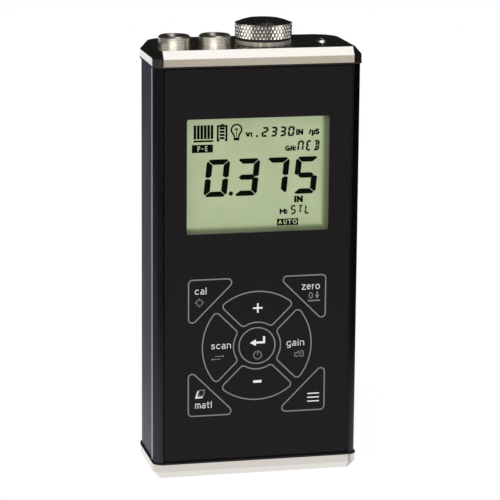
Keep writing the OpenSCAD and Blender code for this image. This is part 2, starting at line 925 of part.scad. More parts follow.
module battery_spring() {
  sides = 6;
  per_turn = 14;
  rings = spring_turns * per_turn;
  z0 = plug_top + wire_r + rest_gap;
  rise = cell_bottom - plug_top - 2 * (wire_r + rest_gap);
  points = [for (i = [0:rings], k = [0:sides - 1])
    let (turn = 360 * i / per_turn, a = 360 * k / sides, r = spring_r + wire_r * cos(a))
    [r * cos(turn), r * sin(turn), z0 + rise * i / rings + wire_r * sin(a)]];
  color("#c4c4c8") translate([battery_x, battery_y, 0]) polyhedron(points, tube_faces(rings + 1, sides));
}

module cell(top) {
  color("#3f5f86")
  translate([battery_x, battery_y, top]) rotate_extrude() polygon([
    [0, -cell_l], [cell_r - cell_edge, -cell_l], [cell_r, cell_edge - cell_l],
    [cell_r, -cell_nub_l - cell_edge], [cell_r - cell_edge, -cell_nub_l],
    [cell_nub_r, -cell_nub_l], [cell_nub_r, 0], [0, 0]
  ]);
}

module lower_cell() {
  cell(lower_cell_top);
}

module upper_cell() {
  cell(cell_top);
}

module battery_cap_seal() {
  ring_r = seal_t / 2 - rest_gap;
  color("#17171a")
  translate([battery_x, battery_y, collar_top + seal_t / 2])
    rotate_extrude() translate([seal_in + ring_r, 0]) circle(ring_r);
}

// Knurled band: a grid of points whose every second one is a peak, so each peak is a four-sided diamond
module knurled_band() {
  columns = 2 * knurl_count;
  rows = 2 * round(knurl_h * knurl_count / (2 * PI * knob_r * knurl_slope));
  low = columns * (rows + 1);
  high = low + 1;
  points = concat(
    [for (j = [0:rows], i = [0:columns - 1])
      let (r = knob_r - ((i + j) % 2) * knurl_depth, a = 360 * i / columns)
      [r * cos(a), r * sin(a), knob_z0 + knurl_h * j / rows]],
    [[0, 0, knob_z0], [0, 0, knurl_z1]]
  );
  faces = [for (j = [0:rows - 1], i = [0:columns - 1])
    let (a = j * columns + i, b = j * columns + (i + 1) % columns, c = b + columns, d = a + columns)
    each (i + j) % 2 == 0 ? [[a, d, b], [b, d, c]] : [[a, c, b], [a, d, c]]];
  bottom = [for (i = [0:columns - 1]) [low, i, (i + 1) % columns]];
  top = [for (i = [0:columns - 1]) [high, rows * columns + (i + 1) % columns, rows * columns + i]];
  polyhedron(points, concat(faces, bottom, top));
}

module battery_cap() {
  edge_r = knob_r - knurl_depth - rest_gap;
  bend_r = (edge_r + crown_r) / 2;
  bend_z = knurl_z1 + crown_bend * crown_h;
  color("#cfccc6")
  translate([battery_x, battery_y, 0]) {
    knurled_band();
    rotate_extrude() polygon([
      [0, cell_top + rest_gap], [cell_nub_r, cell_top + rest_gap], [cell_nub_r, stem_bottom],
      [stem_r, stem_bottom], [stem_r, knob_z0 + knurl_h / 4], [edge_r - knurl_depth, knurl_z1 - knurl_h / 4],
      [edge_r, knurl_z1], [bend_r, bend_z], [crown_r, knob_top], [0, knob_top]
    ]);
  }
}

housing();
top_end_cap();
bottom_end_cap();
top_gasket();
bottom_gasket();
top_cap_screws();
bottom_cap_screws();
keypad_overlay();
keypad_spacer();
keypad_circuit();
key_domes();
keypad_tail();
keypad_tail_socket();
key_cal();
key_zero();
key_material();
key_menu();
key_plus();
key_minus();
key_scan();
key_gain();
key_enter();
display_window();
display_bezel();
display_glass();
display_backlight();
display_ribbon();
display_ribbon_socket();
main_board();
board_chips();
board_capacitors();
left_socket_shell();
right_socket_shell();
left_socket_insulator();
right_socket_insulator();
left_socket_contact();
right_socket_contact();
left_socket_nut();
right_socket_nut();
left_socket_lead();
right_socket_lead();
battery_tube();
battery_plug();
battery_spring();
lower_cell();
upper_cell();
battery_cap_seal();
battery_cap();
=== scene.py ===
# %% [markdown]
# # A hand-held ultrasonic thickness gauge
# The gauge is a black extruded case between two nickel-plated end caps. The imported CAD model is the
# frame: every solid is already in place, in metres, so this lesson only dresses it. It sets the
# camera and the studio, gives each solid a finish, and lays the printed marks on the keys and the
# dark segments on the display.

# %% Load the frame
import math
import bmesh
import bpy
from mathutils import Matrix, Vector


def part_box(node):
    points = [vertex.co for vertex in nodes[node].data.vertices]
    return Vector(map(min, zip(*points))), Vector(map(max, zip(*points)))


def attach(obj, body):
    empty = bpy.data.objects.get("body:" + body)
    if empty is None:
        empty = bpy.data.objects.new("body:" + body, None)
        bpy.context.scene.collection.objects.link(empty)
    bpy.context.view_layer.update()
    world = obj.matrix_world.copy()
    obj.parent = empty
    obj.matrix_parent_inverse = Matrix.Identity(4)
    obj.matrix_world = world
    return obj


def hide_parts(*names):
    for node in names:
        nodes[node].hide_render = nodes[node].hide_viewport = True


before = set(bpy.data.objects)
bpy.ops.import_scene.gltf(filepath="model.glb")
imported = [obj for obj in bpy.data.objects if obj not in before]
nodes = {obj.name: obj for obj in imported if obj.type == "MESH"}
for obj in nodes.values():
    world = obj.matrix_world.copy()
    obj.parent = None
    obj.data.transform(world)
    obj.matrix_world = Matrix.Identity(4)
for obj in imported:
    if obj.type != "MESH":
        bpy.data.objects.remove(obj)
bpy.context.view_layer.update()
scene = bpy.context.scene
MM = 0.001


# %% [markdown]
# ## Camera
# The picture was taken with a long lens from the front left, a little above the top plate, so the
# case's edges are almost parallel. The matrix holds the camera's right, up and backward directions
# and its place as columns, and needs no aiming constraint.

# %% Camera
SENSOR_MM, FOCAL_PX, PICTURE_PX = 36, 2595, 500
camera_lens = bpy.data.cameras.new("product_camera")
camera_lens.sensor_fit = "HORIZONTAL"
camera_lens.sensor_width = SENSOR_MM
camera_lens.lens = SENSOR_MM * FOCAL_PX / PICTURE_PX
camera_lens.clip_end = 50
camera = bpy.data.objects.new("product_camera", camera_lens)
camera_right = Vector((0.97516, -0.22134, 0.00783))
camera_up = Vector((0.04152, 0.21742, 0.97520))
camera_back = Vector((-0.21755, -0.95065, 0.22121))
camera_place = Vector((-171.9, -755.8, 242.7)) * MM
camera_rows = list(zip(camera_right, camera_up, camera_back, camera_place))
camera.matrix_world = Matrix(camera_rows + [(0, 0, 0, 1)])
scene.collection.objects.link(camera)
scene.camera = camera
scene.view_settings.view_transform = "Standard"
print("camera at", [round(v, 4) for v in camera_place], "lens", round(camera_lens.lens, 1))

# %% [markdown]
# ## Node helpers
# Every finish is a tree of shader nodes. A few small helpers keep the cells short. One adds a node
# and sets its values, and one feeds a socket, with a link or with a plain value. A socket knows its
# own tree, so a sum needs only its operation and its terms. A bare tree holds one output.

# %% Node helpers
def add_node(tree, kind, **values):
    node = tree.nodes.new("ShaderNode" + kind)
    for key, value in values.items():
        if key in node.inputs:
            node.inputs[key].default_value = value
        else:
            setattr(node, key, value)
    return node


def is_socket(value):
    return isinstance(value, bpy.types.NodeSocket)


def feed(socket, value):
    if is_socket(value):
        socket.id_data.links.new(value, socket)
    else:
        socket.default_value = value


def node_on(kind, values, **settings):
    tree = next(value.id_data for value in values if is_socket(value))
    node = add_node(tree, kind, **settings)
    for socket, value in zip(node.inputs, values):
        feed(socket, value)
    return node.outputs


def calc(operation, *values, **settings):
    return node_on("Math", values, operation=operation, **settings)[0]


def bare_tree(owner, output="OutputMaterial"):
    owner.use_nodes = True
    tree = owner.node_tree
    tree.nodes.clear()
    return tree, add_node(tree, output).inputs["Surface"]


print("node helpers ready")

# %% [markdown]
# ## Studio floor
# A product picture stands on a white sweep. The floor is pale paint and keeps the gauge's soft
# shadow. Rays from the camera, and mirror-like rays from the metal, see mostly plain white instead,
# so that the background is white without more light on the gauge.

# %% Studio floor
def flat_card(name, corners):
    mesh = bpy.data.meshes.new(name)
    mesh.from_pydata([Vector(c) for c in corners], [], [tuple(range(len(corners)))])
    card = bpy.data.objects.new(name, mesh)
    scene.collection.objects.link(card)
    return card


def seen_rays(tree):
    path = add_node(tree, "LightPath").outputs
    sharp = calc("MAXIMUM", path["Is Camera Ray"], path["Is Glossy Ray"])
    return calc("MAXIMUM", sharp, path["Is Transmission Ray"])


def mix_shaders(factor, first, second):
    return node_on("MixShader", (factor, first.outputs[0], second.outputs[0]))[0]


WHITE, PALE_PAINT = (1, 1, 1, 1), (0.9, 0.9, 0.9, 1)
FLOOR_GLOW, FLOOR_GLOW_SHARE = 1.08, 0.86
floor_finish = bpy.data.materials.new("pale_floor")
floor_tree, floor_surface = bare_tree(floor_finish)
floor_paint = add_node(floor_tree, "BsdfDiffuse", Color=PALE_PAINT)
floor_glow = add_node(floor_tree, "Emission", Color=WHITE, Strength=FLOOR_GLOW)
floor_share = calc("MULTIPLY", seen_rays(floor_tree), FLOOR_GLOW_SHARE)
feed(floor_surface, mix_shaders(floor_share, floor_paint, floor_glow))

floor = flat_card("studio_floor", [(-6, -6, 0), (6, -6, 0), (6, 9, 0), (-6, 9, 0)])
floor.data.materials.append(floor_finish)
print("floor at z 0, 12 m wide")

# %% [markdown]
# ## Studio light
# One softbox hangs over the gauge, so the front bevel of the top cap mirrors it and turns white. A
# second one in front lights the panel evenly. The world adds a weak fill, and is plain white where
# the camera looks past the floor.

# %% Studio light
GAUGE_MIDDLE = Vector((0, 0, 0.07))


def softbox(name, place, width, height, watts):
    lamp = bpy.data.lights.new(name, "AREA")
    lamp.shape = "RECTANGLE"
    lamp.size = width
    lamp.size_y = height
    lamp.energy = watts
    light = bpy.data.objects.new(name, lamp)
    light.location = place
    light.rotation_euler = (GAUGE_MIDDLE - Vector(place)).to_track_quat("-Z", "Y").to_euler()
    scene.collection.objects.link(light)


softbox("overhead_softbox", (0.265, -0.34, 1.2), 0.46, 0.9, 0.45)
softbox("front_softbox", (-0.55, -1.45, 0.85), 1.5, 1.3, 16)

scene.world = bpy.data.worlds.new("studio_world")
world_tree, world_surface = bare_tree(scene.world, "OutputWorld")
world_fill = add_node(world_tree, "Background", Color=(0.94, 0.97, 1.0, 1), Strength=0.5)
world_white = add_node(world_tree, "Background", Color=WHITE, Strength=1.0)
feed(world_surface, mix_shaders(seen_rays(world_tree), world_fill, world_white))

# %% [markdown]
# ## Cards for the metal to mirror
# Polished metal shows the room, so cards that only mirror rays see stand round the gauge. Dark ones
# behind, above and at the right keep the top plate and the corners black. Sectors on the floor,
# counted in degrees from the front toward the left, are grey for the flat front bands and dark for
# the right corners. The curved hem of a dark cloth ends the light on the left rolled edge.

# %% Cards for the metal to mirror
BLACK_CLOTH, GREY_CARD = (0.012, 0.011, 0.010), (0.64, 0.59, 0.49)
CARD_LIFT, SECTOR_NEAR, SECTOR_FAR, SECTOR_STEPS = 0.002, 0.14, 3.0, 12


def mirror_card(name, corners, colour=BLACK_CLOTH):
    card = flat_card(name, corners)
    glow = bpy.data.materials.new(name)
    tree, surface = bare_tree(glow)
    shine = add_node(tree, "Emission", Color=(*colour, 1), Strength=1)
    feed(surface, shine.outputs[0])
    card.data.materials.append(glow)
    card.visible_camera = False
    card.visible_diffuse = False
    card.visible_shadow = False


def floor_sector(name, start, end, colour=BLACK_CLOTH):
    span = (end - start) / SECTOR_STEPS
    angles = [math.radians(start + span * i) for i in range(SECTOR_STEPS + 1)]
    rays = [(-math.sin(a), -math.cos(a)) for a in angles]
    spots = [(SECTOR_NEAR * x, SECTOR_NEAR * y, CARD_LIFT) for x, y in rays]
    spots += [(SECTOR_FAR * x, SECTOR_FAR * y, CARD_LIFT) for x, y in reversed(rays)]
    mirror_card(name, spots, colour)


def upright_card(name, x0, y0, x1, y1, low=0.1, high=1.9):
    mirror_card(name, [(x0, y0, low), (x1, y1, low), (x1, y1, high), (x0, y0, high)])


def upper_card(name, x0, x1, z=1.25):
    mirror_card(name, [(x0, -1.2, z), (x1, -1.2, z), (x1, 0.9, z), (x0, 0.9, z)])


upright_card("rear_dark_card", -2.2, 0.9, 1.5, 0.9)
upright_card("right_dark_card", 1.2, -0.5, 1.2, 0.9)
upper_card("upper_left_dark_card", -2.2, 0.05)
upper_card("upper_right_dark_card", 0.48, 1.6)
floor_sector("front_grey_sector", -26, -6, GREY_CARD)
floor_sector("right_dark_sector", -165, -26)
left_cloth = [
    (0.015, -0.139), (0.314, -2.98), (-3, -3), (-3, 1.4), (-1.0, 1.2), (-0.65, 0.54),
    (-0.425, 0.146), (-0.267, 0.042), (-0.16, 0.003), (-0.14, -0.05), (-0.09, -0.11),
]
mirror_card("left_dark_cloth", [(x, y, CARD_LIFT) for x, y in left_cloth])

# %% [markdown]
# ## Group helpers
# A node group holds an effect that several finishes share. Its inputs and outputs are named, and its
# inputs have usual values. The other helpers add a sum of vectors, a ramp from one range to another,
# and the place of a point in the object's own coordinates.

# %% Group helpers
def vector_calc(operation, *values):
    outputs = node_on("VectorMath", values, operation=operation)
    return outputs["Value" if operation in ("DOT_PRODUCT", "LENGTH") else "Vector"]


def ramp(value, low, high, to_low=0.0, to_high=1.0, easing="LINEAR"):
    span = (value, low, high, to_low, to_high)
    return node_on("MapRange", span, interpolation_type=easing)["Result"]


def object_place(tree):
    return add_node(tree, "TexCoord").outputs["Object"]


def start_group(name, inputs, *outputs):
    group = bpy.data.node_groups.new(name, "ShaderNodeTree")

    def add_socket(label, way, is_vector):
        kind = "NodeSocketVector" if is_vector else "NodeSocketFloat"
        return group.interface.new_socket(label, in_out=way, socket_type=kind)

    for label, value in inputs.items():
        add_socket(label, "INPUT", isinstance(value, tuple)).default_value = value
    for label in outputs:
        add_socket(label, "OUTPUT", label == "Normal")
    given = group.nodes.new("NodeGroupInput").outputs
    return group, given, group.nodes.new("NodeGroupOutput").inputs


print("groups start with named inputs and outputs")

# %% [markdown]
# ## Noise groups
# Film, plating and plastic differ in scale, not in kind, so a few noise groups serve all of them.
# *Fine grain* is an even speckle, *lines* are noise pulled out along one direction, and *soft
# patches* change slowly. Each puts out a value between two limits, and the bare noise as a height.

# %% Noise groups
EVEN, DRAWN = 1, 0.004
NOISE_SPAN = (0.3, 0.7)


def noise_group(name, stretch, detail):
    group, given, result = start_group(
        name, {"Size mm": 1.0, "Low": 0.3, "High": 0.7}, "Value", "Height"
    )
    noise = add_node(group, "TexNoise", Detail=detail)
    feed(noise.inputs["Vector"], vector_calc("MULTIPLY", object_place(group), stretch))
    feed(noise.inputs["Scale"], calc("DIVIDE", 1 / MM, given["Size mm"]))
    height = noise.outputs["Fac"]
    feed(result["Value"], ramp(height, *NOISE_SPAN, given["Low"], given["High"]))
    feed(result["Height"], height)
    return group


fine_grain = noise_group("fine_grain", (EVEN, EVEN, EVEN), 2)
soft_patches = noise_group("soft_patches", (EVEN, EVEN, EVEN), 3)
lines_upright = noise_group("lines_upright", (EVEN, EVEN, DRAWN), 2)
lines_turned = noise_group("lines_turned", (DRAWN, DRAWN, EVEN), 2)
print("noise groups:", [g.name for g in bpy.data.node_groups])

# %% [markdown]
# ## Rubbed edges
# Edges wear first. This group compares the real normal with one that a Bevel node has rounded. They
# agree on flat faces and part on edges, so their dot product gives a mask. The rounded normal is put
# out as well, for a soft glint along the edge.

# %% Rubbed edges
BEVEL_SAMPLES, AGREE_FULL, AGREE_WORN = 6, 0.995, 0.85
rubbed_edges, rub_given, rub_result = start_group(
    "rubbed_edges", {"Width mm": 0.2, "Amount": 1.0}, "Mask", "Normal"
)
rub_round = add_node(rubbed_edges, "Bevel", samples=BEVEL_SAMPLES)
rub_normal = rub_round.outputs["Normal"]
feed(rub_round.inputs["Radius"], calc("MULTIPLY", rub_given["Width mm"], MM))
rub_face = add_node(rubbed_edges, "NewGeometry").outputs["Normal"]
rub_match = vector_calc("DOT_PRODUCT", rub_normal, rub_face)
rub_share = ramp(rub_match, AGREE_FULL, AGREE_WORN)
feed(rub_result["Mask"], calc("MULTIPLY", rub_share, rub_given["Amount"], use_clamp=True))
feed(rub_result["Normal"], rub_normal)
print("edge group:", rubbed_edges.name)

# %% [markdown]
# ## Ramps and stripes by place
# Some changes follow the object's own coordinates. A dot product with an axis gives the place along
# it in millimetres. *Soft border* and *even rise* turn that into a value from 0 to 1, and *even
# stripes* is 1 over the first share of each pitch.

# %% Ramps and stripes by place
AXES = {"X": (1, 0, 0), "Y": (0, 1, 0), "Z": (0, 0, 1)}


def axis_group(name, inputs, output):
    group, given, result = start_group(name, {"Axis": AXES["Z"], **inputs}, output)
    along = vector_calc("DOT_PRODUCT", object_place(group), given["Axis"])
    return group, given, calc("DIVIDE", along, MM), result[output]


def ramp_group(name, easing):
    group, given, place_mm, result = axis_group(name, {"Low mm": 0.0, "High mm": 1.0}, "Value")
    feed(result, ramp(place_mm, given["Low mm"], given["High mm"], easing=easing))
    return group


soft_border = ramp_group("soft_border", "SMOOTHSTEP")
even_rise = ramp_group("even_rise", "LINEAR")
even_stripes, stripe_given, stripe_mm, stripe_result = axis_group(
    "even_stripes", {"Pitch mm": 1.0, "Share": 0.5}, "Mask"
)
stripe_part = calc("FRACT", calc("DIVIDE", stripe_mm, stripe_given["Pitch mm"]))
feed(stripe_result, calc("LESS_THAN", stripe_part, stripe_given["Share"]))
print("groups by place:", soft_border.name, even_rise.name, even_stripes.name)

# %% [markdown]
# ## Rolled front edges
# The sides of the case roll toward the front in a wide arc and meet the flat front in a crease. The
# CAD corner is a plain small round. A group turns the shading normal there to the direction from the
# arc's axis, and leaves the upward part of the normal as it is, so the bevel and the top plate keep
# their own lean. The absolute value of x makes one arc serve both sides.

# %% Rolled front edges
ROLL_X, ROLL_Y, CREASE_X = 24.0, -9.8, 28.9
rolled_edges, roll_given, roll_result = start_group(
    "rolled_edges",
    {"Axis x mm": ROLL_X, "Axis y mm": ROLL_Y, "Crease x mm": CREASE_X, "Normal": (0, 0, 1)},
    "Normal",
)
roll_spot = node_on("SeparateXYZ", [object_place(rolled_edges)])
roll_face = add_node(rolled_edges, "NewGeometry").outputs["Normal"]
roll_up = node_on("SeparateXYZ", [roll_face])["Z"]
across_mm = calc("MULTIPLY", roll_spot["X"], 1 / MM)
deep_mm = calc("MULTIPLY", roll_spot["Y"], 1 / MM)
wide_mm = calc("ABSOLUTE", across_mm)
beyond_axis = calc("SUBTRACT", wide_mm, roll_given["Axis x mm"])
reach_x = calc("MULTIPLY", beyond_axis, calc("SIGN", across_mm))
reach_y = calc("SUBTRACT", deep_mm, roll_given["Axis y mm"])
roll_unit = vector_calc("NORMALIZE", node_on("CombineXYZ", (reach_x, reach_y, 0))[0])
flat_share = calc("SQRT", calc("SUBTRACT", 1, calc("MULTIPLY", roll_up, roll_up), use_clamp=True))
roll_flat = vector_calc("MULTIPLY", roll_unit, flat_share)
roll_lift = node_on("CombineXYZ", (0, 0, roll_up))[0]
outside = calc("GREATER_THAN", wide_mm, roll_given["Crease x mm"])
ahead = calc("LESS_THAN", deep_mm, roll_given["Axis y mm"])
roll_choice = add_node(rolled_edges, "Mix", data_type="VECTOR")
feed(roll_choice.inputs["Factor"], calc("MULTIPLY", outside, ahead))
feed(roll_choice.inputs[4], roll_given["Normal"])
feed(roll_choice.inputs[5], vector_calc("ADD", roll_flat, roll_lift))
feed(roll_result["Normal"], roll_choice.outputs[1])
print("rolled edges from y", ROLL_Y, "mm to the crease at x", CREASE_X, "mm")

# %% [markdown]
# ## Finish helpers
# A finish starts from a Principled shader, and values that are the same all over go straight onto
# it. Node groups are placed by the names of their inputs. The other two helpers mix two tones and
# add a shallow bump.

# %% Finish helpers
def new_finish(name, **values):
    finish = bpy.data.materials.new(name)
    tree, surface = bare_tree(finish)
    shader = add_node(tree, "BsdfPrincipled", **values)
    feed(surface, shader.outputs["BSDF"])
    return finish, tree, shader.inputs


def place_group(tree, group, **values):
    node = add_node(tree, "Group", node_tree=group)
    for label, value in values.items():
        feed(node.inputs[label.replace("_", " ")], value)
    return node.outputs


def mix_tones(factor, *tones):
    node = add_node(factor.id_data, "Mix", data_type="RGBA")
    feed(node.inputs["Factor"], factor)
    for socket, tone in zip(node.inputs[6:8], tones):
        feed(socket, tone if is_socket(tone) else (*tone, 1))
    return node.outputs[2]


def add_relief(shader, height, strength, depth):
    relief = add_node(height.id_data, "Bump", Strength=strength, Distance=depth)
    feed(relief.inputs["Height"], height)
    feed(shader["Normal"], relief.outputs["Normal"])
    return relief.inputs["Normal"]


print("finishes so far:", len(bpy.data.materials))

# %% [markdown]
# ## One recipe for the finishes
# A finish mixes a darker and a lighter tone by one of the noise groups, lets the same noise vary the
# roughness, and adds a shallow bump. Metals get rounded, rubbed edges on top.

# %% One recipe for the finishes
PATCH_MM, PATCH_SHARE, RUB_AMOUNT, GRAIN_DEPTH = 18, 0.6, 0.8, 0.02 * MM
BLEND_SPAN = (-PATCH_SHARE / 2, 1 + PATCH_SHARE / 2)


def made_finish(name, dark, light, rough, grain=fine_grain, grain_mm=0.4, bump=0.1, metal=0.0,
                specular=0.5, edge_mm=0.0, edge_tone=None, rolled=False):
    finish, tree, shader = new_finish(name, **{"Metallic": metal, "Specular IOR Level": specular})
    speckle = place_group(tree, grain, Size_mm=grain_mm, Low=0.0, High=1.0)
    patches = place_group(tree, soft_patches, Size_mm=PATCH_MM, Low=-0.5, High=0.5)
    colour = mix_tones(speckle["Value"], dark, light)
    blend = calc("MULTIPLY_ADD", patches["Value"], PATCH_SHARE, speckle["Value"])
    feed(shader["Roughness"], ramp(blend, *BLEND_SPAN, *rough))
    relief_normal = add_relief(shader, speckle["Height"], bump, GRAIN_DEPTH)
    if edge_mm:
        rub = place_group(tree, rubbed_edges, Width_mm=edge_mm, Amount=RUB_AMOUNT)
        smooth = rub["Normal"]
        if rolled:
            smooth = place_group(tree, rolled_edges, Normal=smooth)["Normal"]
        feed(relief_normal, smooth)
        if edge_tone:
            colour = mix_tones(rub["Mask"], colour, edge_tone)
    feed(shader["Base Color"], colour)
    return finish


def dress(finish, *names):
    for name in names:
        for slot in nodes[name].material_slots:
            slot.material = finish
    print(finish.name, "on", ", ".join(names))


print("recipe ready: patches of", PATCH_MM, "mm")

# %% [markdown]
# ## Tones by place
# More helpers place the groups that follow the coordinates. They give a ramp along an axis, or two
# of them joined, turn a value into a row of colour stops, and lay a tone over a finish by a mask.

# %% Tones by place
def place_ramp(tree, axis, low_mm, high_mm, group=soft_border):
    return place_group(tree, group, Axis=AXES[axis], Low_mm=low_mm, High_mm=high_mm)["Value"]


def two_ramps(tree, operation, first, second):
    return calc(operation, place_ramp(tree, *first), place_ramp(tree, *second))


def stops(factor, tones):
    node = add_node(factor.id_data, "ValToRGB")
    elements = node.color_ramp.elements
    while len(elements) < len(tones):
        elements.new(1.0)
    for element, (place, tone) in zip(elements, tones):
        element.position = place
        element.color = (*tone, 1)
    feed(node.inputs[0], factor)
    return node.outputs["Color"]


def shader_of(finish):
    return finish.node_tree.nodes["Principled BSDF"].inputs


def tint_over(finish, mask, tone):
    base = shader_of(finish)["Base Color"]
    feed(base, mix_tones(mask, base.links[0].from_socket, tone))


print("tones can follow", ", ".join(AXES))

# %% [markdown]
# ## Black case
# The body is a black anodised extrusion, with faint upright lines from the die. Toward the foot it is
# less metallic, a painted sheen that makes the sides paler there, and a pale tint along each side
# where it begins to roll is a painted highlight line.

# %% Black case
anodised_black = made_finish(
    "anodised_black", (0.027, 0.026, 0.033), (0.043, 0.042, 0.051), (0.28, 0.40),
    lines_upright, 0.35, 0.12, metal=1.0, edge_mm=0.15, edge_tone=(0.055, 0.055, 0.06), rolled=True
)
case_tree, case_shader = anodised_black.node_tree, shader_of(anodised_black)
case_shader["Specular Tint"].default_value = (0.36, 0.36, 0.395, 1)
# Painted sheen: Metallic falls toward the foot, so the sides turn paler low down.
side_height = place_ramp(case_tree, "Z", 0, 128, even_rise)
side_metal = [(0.0, 0.45), (0.22, 0.78), (0.4, 0.88), (0.6, 0.91), (1.0, 1.0)]
painted_foot_sheen = stops(side_height, [(place, (share,) * 3) for place, share in side_metal])
feed(case_shader["Metallic"], painted_foot_sheen)
# Painted highlight: a pale line tinted along each side where it begins to roll.
painted_highlight_line = two_ramps(case_tree, "MULTIPLY", ("Y", -10.8, -10.2), ("Y", -9.1, -9.6))
tint_over(anodised_black, painted_highlight_line, (0.90, 0.91, 0.94))
dress(anodised_black, "housing")

# %% [markdown]
# ## Nickel caps and sockets
# The end caps are milled and nickel plated: bright, warm, and slightly speckled. The upper part of
# the foot's front band is tinted darker and warmer, a painted reflection. The sockets are turned, so
# their lines run round.

# %% Nickel caps and sockets
def plated(name):
    return made_finish(
        name, (0.71, 0.685, 0.645), (0.77, 0.745, 0.71), (0.12, 0.22), fine_grain, 0.35, 0.06,
        metal=1.0, edge_mm=0.18, edge_tone=(0.86, 0.84, 0.81), rolled=True
    )


nickel_plate, nickel_foot = plated("nickel_plate"), plated("nickel_foot")
dress(nickel_plate, "top_end_cap")
foot_tree = nickel_foot.node_tree
# Painted reflection: the upper front band of the foot is tinted darker and warmer.
painted_reflection_band = two_ramps(foot_tree, "MULTIPLY", ("Z", 2.2, 2.4), ("Y", -13.0, -15.0))
tint_over(nickel_foot, painted_reflection_band, (0.666, 0.622, 0.582))
dress(nickel_foot, "bottom_end_cap")

nickel_turned = made_finish(
    "nickel_turned", (0.46, 0.43, 0.36), (0.74, 0.71, 0.64), (0.22, 0.38), lines_turned, 0.16, 0.35,
    metal=1.0, edge_mm=0.12, edge_tone=(0.86, 0.84, 0.79)
)
for socket_part in ("_socket_shell", "_socket_nut"):
    dress(nickel_turned, "left" + socket_part, "right" + socket_part)

# %% [markdown]
# ## Knurled screw cap
# The knurl's valleys are painted dark, a painted shade. A mask on the distance from the cap's axis
# darkens them, and a ramp near the top keeps the painted shade off the turned crown.

# %% Knurled screw cap
KNURL_CREST_MM, KNURL_VALLEY_MM = 8.56, 8.34
CROWN_MM, CROWN_FOOT_MM = 136.75, 136.6
nickel_knurled = made_finish(
    "nickel_knurled", (0.66, 0.64, 0.60), (0.86, 0.84, 0.80), (0.12, 0.24), fine_grain, 0.25, 0.08,
    metal=1.0, edge_mm=0.03
)
knob_low, knob_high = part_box("battery_cap")
knob_axis = ((knob_low[0] + knob_high[0]) / 2, (knob_low[1] + knob_high[1]) / 2, 0)
knurl_tree = nickel_knurled.node_tree
knurl_arm = vector_calc("SUBTRACT", object_place(knurl_tree), knob_axis)
knurl_r = vector_calc("LENGTH", vector_calc("MULTIPLY", knurl_arm, (1, 1, 0)))
# Painted shade in the knurl's valleys.
knurl_valley_shade = ramp(knurl_r, KNURL_CREST_MM * MM, KNURL_VALLEY_MM * MM)
below_crown = place_ramp(knurl_tree, "Z", CROWN_MM, CROWN_FOOT_MM)
tint_over(nickel_knurled, calc("MULTIPLY", knurl_valley_shade, below_crown), (0.13, 0.12, 0.095))
dress(nickel_knurled, "battery_cap")

# %% [markdown]
# ## Plain finishes
# Most other pieces need only the recipe, so a table holds their tones, range of roughness, grain in
# millimetres, bump and what differs from the usual. The overlay and the keys are one printed film: a
# small bump breaks the mirror image of the room into an even dark sheen.

# %% Plain finishes
def dress_table(table):
    for name, dark, light, rough, grain_mm, bump, look, *pieces in table:
        finish = made_finish(name, dark, light, rough, grain_mm=grain_mm, bump=bump, **look)
        dress(finish, *pieces)


TURNED = {"grain": lines_turned, "metal": 1.0}
FILM = {"specular": 0.12}
key_names = ["cal", "zero", "material", "menu", "plus", "minus", "scan", "gain", "enter"]
dress_table([
    ("collar_grey", (0.20, 0.19, 0.15), (0.52, 0.50, 0.43), (0.42, 0.58), 0.55, 0.3,
     {"grain": lines_upright, "metal": 0.35}, "battery_tube"),
    ("black_rubber", (0.010, 0.010, 0.010), (0.020, 0.020, 0.021), (0.60, 0.78), 0.3, 0.25,
     {"specular": 0.3}, "top_gasket", "bottom_gasket", "battery_cap_seal"),
    ("bright_steel", (0.70, 0.70, 0.70), (0.86, 0.86, 0.85), (0.12, 0.25), 0.2, 0.2,
     {"edge_mm": 0.08, "edge_tone": (0.9, 0.9, 0.9), **TURNED},
     "top_cap_screws", "bottom_cap_screws", "battery_spring"),
    ("panel_film", (0.0070, 0.0055, 0.0060), (0.0105, 0.0083, 0.0088), (0.46, 0.60), 0.22, 0.22,
     FILM, "keypad_overlay"),
    ("key_film", (0.0070, 0.0055, 0.0060), (0.0102, 0.0080, 0.0086), (0.46, 0.58), 0.22, 0.22,
     FILM, *["key_" + name for name in key_names]),
    ("spacer_black", (0.020, 0.020, 0.023), (0.034, 0.034, 0.038), (0.5, 0.65), 0.3, 0.15,
     {}, "keypad_spacer"),
])

# %% [markdown]
# ## Display ground
# At the floor of the recess lies the grey-green display glass. It glows a little, a painted light
# that holds its tone deep in the recess. Its ground is a little paler along the upper and left
# borders, a painted highlight, darker along the other two, a painted shade by the walls, and has a
# faint cloud.
# All of this follows the object's own coordinates, so it stays put from every side.

# %% Display ground
def vary_roughness(shader, group, size_mm, low, high):
    rough = shader["Roughness"]
    noise = place_group(rough.id_data, group, Size_mm=size_mm, Low=low, High=high)
    feed(rough, noise["Value"])
    return noise


# Painted light: the display is no lamp, but its ground glows.
display_ground, ground_tree, ground_shader = new_finish(
    "display_ground", **{"Emission Strength": 0.68, "Specular IOR Level": 0.2}
)
ground_cloud = place_group(ground_tree, soft_patches, Size_mm=9, Low=0.0, High=1.0)["Value"]
# Painted highlight along the upper and left borders, painted shade along the lower and right ones.
painted_light_border = two_ramps(ground_tree, "MAXIMUM", ("X", -20.6, -21.0), ("Z", 109.3, 109.8))
painted_shade_border = two_ramps(ground_tree, "MAXIMUM", ("X", 20.2, 21.3), ("Z", 77.3, 76.2))
ground_glow = mix_tones(ground_cloud, (0.395, 0.468, 0.276), (0.430, 0.505, 0.308))
ground_glow = mix_tones(painted_light_border, ground_glow, (0.54, 0.58, 0.44))
ground_glow = mix_tones(painted_shade_border, ground_glow, (0.28, 0.33, 0.19))
feed(ground_shader["Emission Color"], ground_glow)
ground_paint = mix_tones(ground_cloud, (0.19, 0.225, 0.132), (0.22, 0.26, 0.155))
feed(ground_shader["Base Color"], ground_paint)
vary_roughness(ground_shader, fine_grain, 0.3, 0.42, 0.52)
dress(display_ground, "display_glass")
